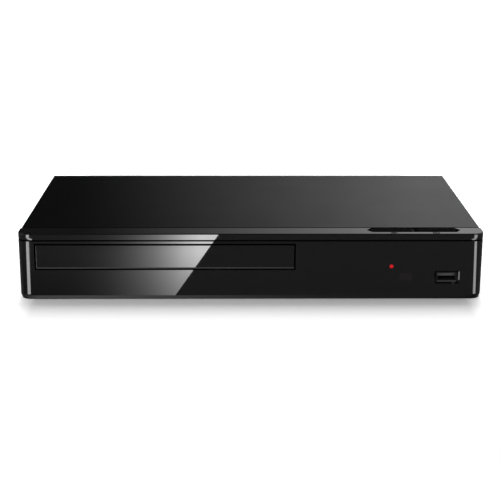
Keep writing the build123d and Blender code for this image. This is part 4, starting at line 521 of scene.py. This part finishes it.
# thread on the lead screw
threadPlan = {"radius": 1.5, "pitch": 3.0, "wire": 0.16, "stepsPerTurn": 18, "inset": 6.0}
low, high = (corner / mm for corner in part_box("lead_screw"))
centreX, centreZ = (low.x + high.x) / 2, (low.z + high.z) / 2
startY, endY = low.y + threadPlan["inset"], high.y - threadPlan["inset"]
stepCount = int((endY - startY) / threadPlan["pitch"] * threadPlan["stepsPerTurn"])
threadCurve = bpy.data.curves.new("leadThread", "CURVE")
threadCurve.dimensions = "3D"
threadCurve.bevel_depth = threadPlan["wire"] * mm
threadCurve.bevel_resolution = 1
spline = threadCurve.splines.new("POLY")
spline.points.add(stepCount)
for i in range(stepCount + 1):
    angle = 2 * math.pi * i / threadPlan["stepsPerTurn"]
    x = centreX + threadPlan["radius"] * math.sin(angle)
    y = startY + (endY - startY) * i / stepCount
    z = centreZ + threadPlan["radius"] * math.cos(angle)
    spline.points[i].co = (x * mm, y * mm, z * mm, 1)
addPiece("leadThread", threadCurve, "bright_steel", "lead_screw")

# small parts soldered on the boards, as long side, short side and height
smallPlan = {
    "tries": {"main_board": 70, "power_board": 16, "front_board": 12}, "seed": 11,
    "sizes": ((1.6, 0.8, 0.5), (2.0, 1.25, 0.7), (1.0, 0.5, 0.35)), "margin": 4, "clear": 2.6, "apart": 3.4,
    "alongShare": 0.5, "endHalf": 0.18, "endProud": 0.03, "round": 0.06,
}
neighbours = [
    "main_chips", "heat_sink", "board_capacitors", "video_socket", "network_socket", "audio_jack",
    "mains_inlet", "power_transformer", "mains_capacitor", "line_choke", "front_data_socket",
    "remote_receiver", "cable_connectors", "board_screws", "flat_cables", "pickup_flex",
]


def smallBlock(place, alongX, along, across, lowZ, highZ):
    spanX, spanY = (along, across) if alongX else (across, along)
    return [(place[0] + spanX[k], place[1] + spanY[k], z) for k, z in enumerate((lowZ, highZ))]


depsgraph = bpy.context.evaluated_depsgraph_get()
trees = [BVHTree.FromObject(nodes[n], depsgraph) for n in neighbours]
rng = random.Random(smallPlan["seed"])
margin = smallPlan["margin"]
bodies, ends = [], []
for board, tries in smallPlan["tries"].items():
    low, high = (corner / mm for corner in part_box(board))
    placed = []
    for _ in range(tries):
        x = rng.uniform(low.x + margin, high.x - margin)
        y = rng.uniform(low.y + margin, high.y - margin)
        point = Vector((x, y, high.z)) * mm
        near = any(tree.find_nearest(point, smallPlan["clear"] * mm)[0] for tree in trees)
        if near or any((Vector((x, y)) - spot).length < smallPlan["apart"] for spot in placed):
            continue
        placed.append(Vector((x, y)))
        longSide, shortSide, height = rng.choice(smallPlan["sizes"])
        alongX = rng.random() < smallPlan["alongShare"]
        reach, side = longSide / 3, shortSide / 2
        bodies.append(smallBlock((x, y), alongX, (-reach, reach), (-side, side), high.z, high.z + height))
        side += smallPlan["endProud"]
        topZ = high.z + height + smallPlan["endProud"]
        for middle in (-reach, reach):
            along = (middle - smallPlan["endHalf"], middle + smallPlan["endHalf"])
            ends.append(smallBlock((x, y), alongX, along, (-side, side), high.z, topZ))
partRound = smallPlan["round"]
addPiece("boardParts", blocksMesh("boardParts", bodies), "cream_part", "chassis", partRound)
addPiece("solderEnds", blocksMesh("solderEnds", ends), "bright_steel", "chassis", partRound)
print("board parts placed:", len(bodies))

cameraPlan = {"place": (-10.28, -871.25, 266.92), "downDeg": 16.545, "rollDeg": -0.158, "turnDeg": 0.645,
              "lensMm": 87.873, "sensorMm": 36, "nearMm": 10}
cameraData = bpy.data.cameras.new("camera")
cameraData.lens = cameraPlan["lensMm"]
cameraData.sensor_width = cameraPlan["sensorMm"]
cameraData.clip_start = cameraPlan["nearMm"] * mm
camera = bpy.data.objects.new("camera", cameraData)
scene.collection.objects.link(camera)
camera.location = Vector(cameraPlan["place"]) * mm
turns = (90 - cameraPlan["downDeg"], cameraPlan["rollDeg"], -cameraPlan["turnDeg"])
camera.rotation_euler = [math.radians(turn) for turn in turns]
scene.camera = camera
print("camera set")


def addCard(name, corners, material, glossOnly=True):
    mesh = bpy.data.meshes.new(name)
    mesh.from_pydata([Vector(c) * mm for c in corners], [], [list(range(len(corners)))])
    card = bpy.data.objects.new(name, mesh)
    scene.collection.objects.link(card)
    card.data.materials.append(material)
    if glossOnly:   # seen in mirrors alone
        card.visible_camera = False
        card.visible_diffuse = False
        card.visible_shadow = False
        card.visible_transmission = False
        card.visible_volume_scatter = False
    return card


def flatCorners(plan):
    w, z = plan["halfWidth"], plan["z"]
    return [(-w, plan["frontY"], z), (w, plan["frontY"], z), (w, plan["rearY"], z), (-w, plan["rearY"], z)]


def uprightCorners(w, y, lowZ, highZ, lean=0):
    return [(-w, y, lowZ), (w, y, lowZ), (w, y - lean, highZ), (-w, y - lean, highZ)]


def emitter(name, level=1.0, power=1.0):
    material = bpy.data.materials.new(name)
    material.use_nodes = True
    tree = material.node_tree
    tree.nodes.clear()
    out = tree.nodes.new("ShaderNodeOutputMaterial")
    glow = tree.nodes.new("ShaderNodeEmission")
    glow.inputs["Color"].default_value = (level, level, level, 1)
    glow.inputs["Strength"].default_value = power
    link(tree, glow.outputs["Emission"], out.inputs["Surface"])
    return material, tree, glow


def rampEmitter(name, axis, stops, power):
    material, tree, glow = emitter(name, 1.0, power)
    place = tree.nodes.new("ShaderNodeTexCoord")
    split = tree.nodes.new("ShaderNodeSeparateXYZ")
    link(tree, place.outputs["Object"], split.inputs["Vector"])
    first, last = stops[0][0], stops[-1][0]
    share = addRange(tree, split.outputs[axis], first * mm, last * mm, 0, 1)
    ramp = tree.nodes.new("ShaderNodeValToRGB")
    ramp.color_ramp.interpolation = "B_SPLINE"
    while len(ramp.color_ramp.elements) < len(stops):
        ramp.color_ramp.elements.new(0.5)
    for element, (position, level) in zip(ramp.color_ramp.elements, stops):
        element.position = (position - first) / (last - first)
        element.color = (level, level, level, 1)
    link(tree, share, ramp.inputs["Fac"])
    link(tree, ramp.outputs["Color"], glow.inputs["Color"])
    return material, split, glow


# pale floor; to the camera it goes white far off, and beside the case a painted camera-only glow lightens the
# shadow; the shadow in front is kept
floorPlan = {"halfWidth": 6000, "frontY": -6000, "rearY": 6000, "z": 0, "grey": 0.9, "rough": 0.9,
             "farLift": 1.0, "farSpan": (350, 1100), "sideLift": 0.46, "sideSpan": (144.5, 158)}
floorMaterial = bpy.data.materials.new("paleFloor")
floorMaterial.use_nodes = True
tree = floorMaterial.node_tree
shader = tree.nodes["Principled BSDF"]
shader.inputs["Base Color"].default_value = (floorPlan["grey"], floorPlan["grey"], floorPlan["grey"], 1)
shader.inputs["Roughness"].default_value = floorPlan["rough"]
shader.inputs["Specular IOR Level"].default_value = 0.0
shader.inputs["Emission Color"].default_value = (1, 1, 1, 1)
rays = tree.nodes.new("ShaderNodeLightPath")
place = tree.nodes.new("ShaderNodeTexCoord")
away = tree.nodes.new("ShaderNodeVectorMath")
away.operation = "LENGTH"
link(tree, place.outputs["Object"], away.inputs[0])
farSpan, sideSpan = ([reach * mm for reach in floorPlan[key]] for key in ("farSpan", "sideSpan"))
farLift = addRange(tree, away.outputs["Value"], *farSpan, 0, floorPlan["farLift"])
split = tree.nodes.new("ShaderNodeSeparateXYZ")
link(tree, place.outputs["Object"], split.inputs["Vector"])
# beside the case a camera-only glow is painted on the floor, lightening the shadow there
aside = addMath(tree, "ABSOLUTE", split.outputs["X"])
sideLift = addRange(tree, aside, *sideSpan, 0, floorPlan["sideLift"])
lift = addMath(tree, "MAXIMUM", farLift, sideLift)
seen = addMath(tree, "MULTIPLY", rays.outputs["Is Camera Ray"], lift)
link(tree, seen, shader.inputs["Emission Strength"])
addCard("floor", flatCorners(floorPlan), floorMaterial, glossOnly=False)

# white room for the camera, mirrors and glass, dimmer as a light
roomFill = 0.5
world = bpy.data.worlds.new("paleRoom")
scene.world = world
world.use_nodes = True
tree = world.node_tree
back = tree.nodes["Background"]
back.inputs["Color"].default_value = (1, 1, 1, 1)
rays = tree.nodes.new("ShaderNodeLightPath")
seen = addMath(tree, "ADD", rays.outputs["Is Camera Ray"], rays.outputs["Is Glossy Ray"])
seen = addMath(tree, "ADD", seen, rays.outputs["Is Transmission Ray"])
link(tree, addRange(tree, seen, 0, 1, roomFill, 1), back.inputs["Strength"])
print("floor and room set")

# dark cloth on the floor round the front and sides
clothPlan = {"halfWidth": 1500, "frontY": -1600, "rearY": 70, "z": 0.3, "level": 0.17}
addCard("darkCloth", flatCorners(clothPlan), emitter("darkCloth", clothPlan["level"])[0])

# slanted glow on the floor in front, mirrored in the left half of the front
sheenPlan = {
    "z": 0.5, "leftX": -260, "nearEdge": (-52.65, -91), "farEdge": (-15.0, -300),
    "power": 14.0, "nearFade": 0.4, "fadeSpan": (-95, -200),
    "stops": [(-170, 0.013), (-130, 0.016), (-100, 0.045), (-73, 0.22), (-50, 0.68), (-15, 1.6)],
}
sheenMaterial, split, glow = rampEmitter("frontSheen", "X", sheenPlan["stops"], sheenPlan["power"])
tree = sheenMaterial.node_tree
fadeSpan = [y * mm for y in sheenPlan["fadeSpan"]]
nearPower = sheenPlan["nearFade"] * sheenPlan["power"]
fade = addRange(tree, split.outputs["Y"], *fadeSpan, nearPower, sheenPlan["power"])
link(tree, fade, glow.inputs["Strength"])
(nearX, nearY), (farX, farY) = sheenPlan["nearEdge"], sheenPlan["farEdge"]
outline = [(sheenPlan["leftX"], nearY), (sheenPlan["leftX"], farY), (farX, farY), (nearX, nearY)]
addCard("frontSheen", [(x, y, sheenPlan["z"]) for x, y in outline], sheenMaterial)

# thin strip of light right under the front, mirrored in the bottom chamfer and the door's lower edge
lipPlan = {
    "halfWidth": 160, "frontY": -97, "rearY": -89.2, "z": 0.55, "power": 1.4,
    "stops": [(-154, 0.1), (-144, 0.9), (-67, 0.72), (0, 0.33), (60, 0.15), (144, 0.12), (154, 0.02)],
}
addCard("lipGlow", flatCorners(lipPlan), rampEmitter("lipGlow", "X", lipPlan["stops"], lipPlan["power"])[0])

# narrow fans of light off the front corners, mirrored as upright stripes with a curl on the top strip
# each stripe's edges run between these places on the panel, low and high
# a curl has its height, outer edge and inner edge at each bend
fanPlan = {
    "z": 0.7, "endRound": 7.0, "lowZ": 3.9, "highZ": 41.5, "steps": 6,
    "stops": [(-250, 1.0), (-150, 0.95), (-97, 0.85)],
    "left": {"power": 8.8, "outerX": (-150.5, -149.9), "innerX": (-148.4, -148.0),
             "curl": [(41.5, -147.7, -146.0), (42.3, -148.1, -145.8), (43.0, -149.3, -147.5),
                      (43.4, -149.9, -148.0), (46.1, -149.8, -147.6)]},
    "right": {"power": 7.3, "outerX": (151.8, 150.8), "innerX": (150.0, 149.6),
              "curl": [(41.5, 148.6, 147.5), (42.2, 149.2, 147.3), (42.9, 150.3, 148.7),
                       (43.5, 150.9, 149.5), (46.3, 150.9, 149.3)]},
}


# where the line of sight, mirrored in the panel at x and z, meets the floor
def floorPoint(x, z):
    endRound = fanPlan["endRound"]
    lean = max(0, abs(x) - (cadBox[1].x / mm - endRound)) / endRound
    normal = Vector((math.copysign(lean, x), -math.sqrt(1 - lean * lean), 0))
    point = Vector((x, cadBox[0].y / mm + endRound * (1 + normal.y), z))
    ray = point - Vector(cameraPlan["place"])
    ray -= 2 * ray.dot(normal) * normal
    return point + ray * ((fanPlan["z"] - point.z) / ray.z)


def stripeEdge(ends):
    (lowX, highX), (lowZ, highZ) = ends, (fanPlan["lowZ"], fanPlan["highZ"])
    shares = [i / fanPlan["steps"] for i in range(fanPlan["steps"] + 1)]
    return [floorPoint(lowX + (highX - lowX) * share, lowZ + (highZ - lowZ) * share) for share in shares]


for side in ("left", "right"):
    name, plan = side + "Fan", fanPlan[side]
    fanMaterial = rampEmitter(name, "Y", fanPlan["stops"], plan["power"])[0]
    addCard(name, stripeEdge(plan["outerX"]) + stripeEdge(plan["innerX"])[::-1], fanMaterial)
    outer = [floorPoint(outerX, z) for z, outerX, innerX in plan["curl"]]
    inner = [floorPoint(innerX, z) for z, outerX, innerX in plan["curl"]]
    addCard(side + "Curl", outer + inner[::-1], fanMaterial)

# slip of light mirrored in the slope along the door's lower edge, edge-on to the front itself
slipPlan = {"leftX": -152, "rightX": 34, "near": (-98.5, 3.05), "far": (-104.8, 0.94), "power": 1.0,
            "stops": [(-152, 1.15), (-60, 1.0), (34, 0.8)]}
leftX, rightX, near, far = (slipPlan[key] for key in ("leftX", "rightX", "near", "far"))
outline = [(leftX, *near), (leftX, *far), (rightX, *far), (rightX, *near)]
addCard("doorSlip", outline, rampEmitter("doorSlip", "X", slipPlan["stops"], slipPlan["power"])[0])

# small upright slip of light in the socket's mouth, mirrored in its right bevel
bevelPlan = {"x": 136.5, "nearY": -89.4, "farY": -90.5, "lowZ": 12.3, "highZ": 18.3, "power": 3.4}
nearY, farY, lowZ, highZ = (bevelPlan[key] for key in ("nearY", "farY", "lowZ", "highZ"))
outline = [(bevelPlan["x"], y, z) for y, z in ((nearY, lowZ), (farY, lowZ), (farY, highZ), (nearY, highZ))]
addCard("bevelSlip", outline, emitter("bevelSlip", 1.0, bevelPlan["power"])[0])

# tall graded card behind, mirrored in the top, with dark flags below and above it
topPlan = {
    "y": 500, "halfWidth": 1500, "lowZ": 100, "highZ": 345, "power": 1.0, "flagLean": 300,
    "stops": [(-190, 0.0), (-104, 0.08), (5, 0.28), (125, 0.54), (205, 0.92), (262, 0.84)],
}
# dark flags in front and overhead
overPlan = {"halfWidth": 1500, "frontY": -1600, "rearY": 200, "floorZ": 1, "z": 1500}
w, y, lowZ, highZ = (topPlan[key] for key in ("halfWidth", "y", "lowZ", "highZ"))
topMaterial = rampEmitter("topCard", "X", topPlan["stops"], topPlan["power"])[0]
addCard("topCard", uprightCorners(w, y, lowZ, highZ), topMaterial)
flagMaterial = emitter("darkFlag", 0.0)[0]
addCard("lowFlag", uprightCorners(w, y, overPlan["floorZ"], lowZ), flagMaterial)
addCard("highFlag", uprightCorners(w, y, highZ, overPlan["z"], topPlan["flagLean"]), flagMaterial)
corners = uprightCorners(overPlan["halfWidth"], overPlan["frontY"], overPlan["floorZ"], overPlan["z"])
addCard("frontFlag", corners, flagMaterial)
addCard("overFlag", flatCorners(overPlan), flagMaterial)

# soft glow straight above, so the top isn't blank when it is seen from above
glowPlan = {"halfWidth": 430, "frontY": -270, "rearY": 250, "z": 1450, "power": 0.8,
            "stops": [(-430, 0.12), (0, 0.45), (430, 1.0)]}
overMaterial = rampEmitter("overGlow", "X", glowPlan["stops"], glowPlan["power"])[0]
addCard("overGlow", flatCorners(glowPlan), overMaterial)
print("light cards set")

# soft lamps
lamps = {
    "topBox": {"place": (60, 480, 1160), "aim": (0, 0, 0), "size": 700, "watts": 12.0},
    "frontBox": {"place": (-300, -1300, 700), "aim": (0, 0, 20), "size": 900, "watts": 6.0},
}
for name, plan in lamps.items():
    data = bpy.data.lights.new(name, "AREA")
    data.shape = "SQUARE"
    data.size = plan["size"] * mm
    data.energy = plan["watts"]
    lamp = bpy.data.objects.new(name, data)
    scene.collection.objects.link(lamp)
    lamp.location = Vector(plan["place"]) * mm
    sight = Vector(plan["aim"]) - Vector(plan["place"])
    lamp.rotation_euler = sight.to_track_quat("-Z", "Y").to_euler()
    lamp.visible_glossy = False
print("lamps set")
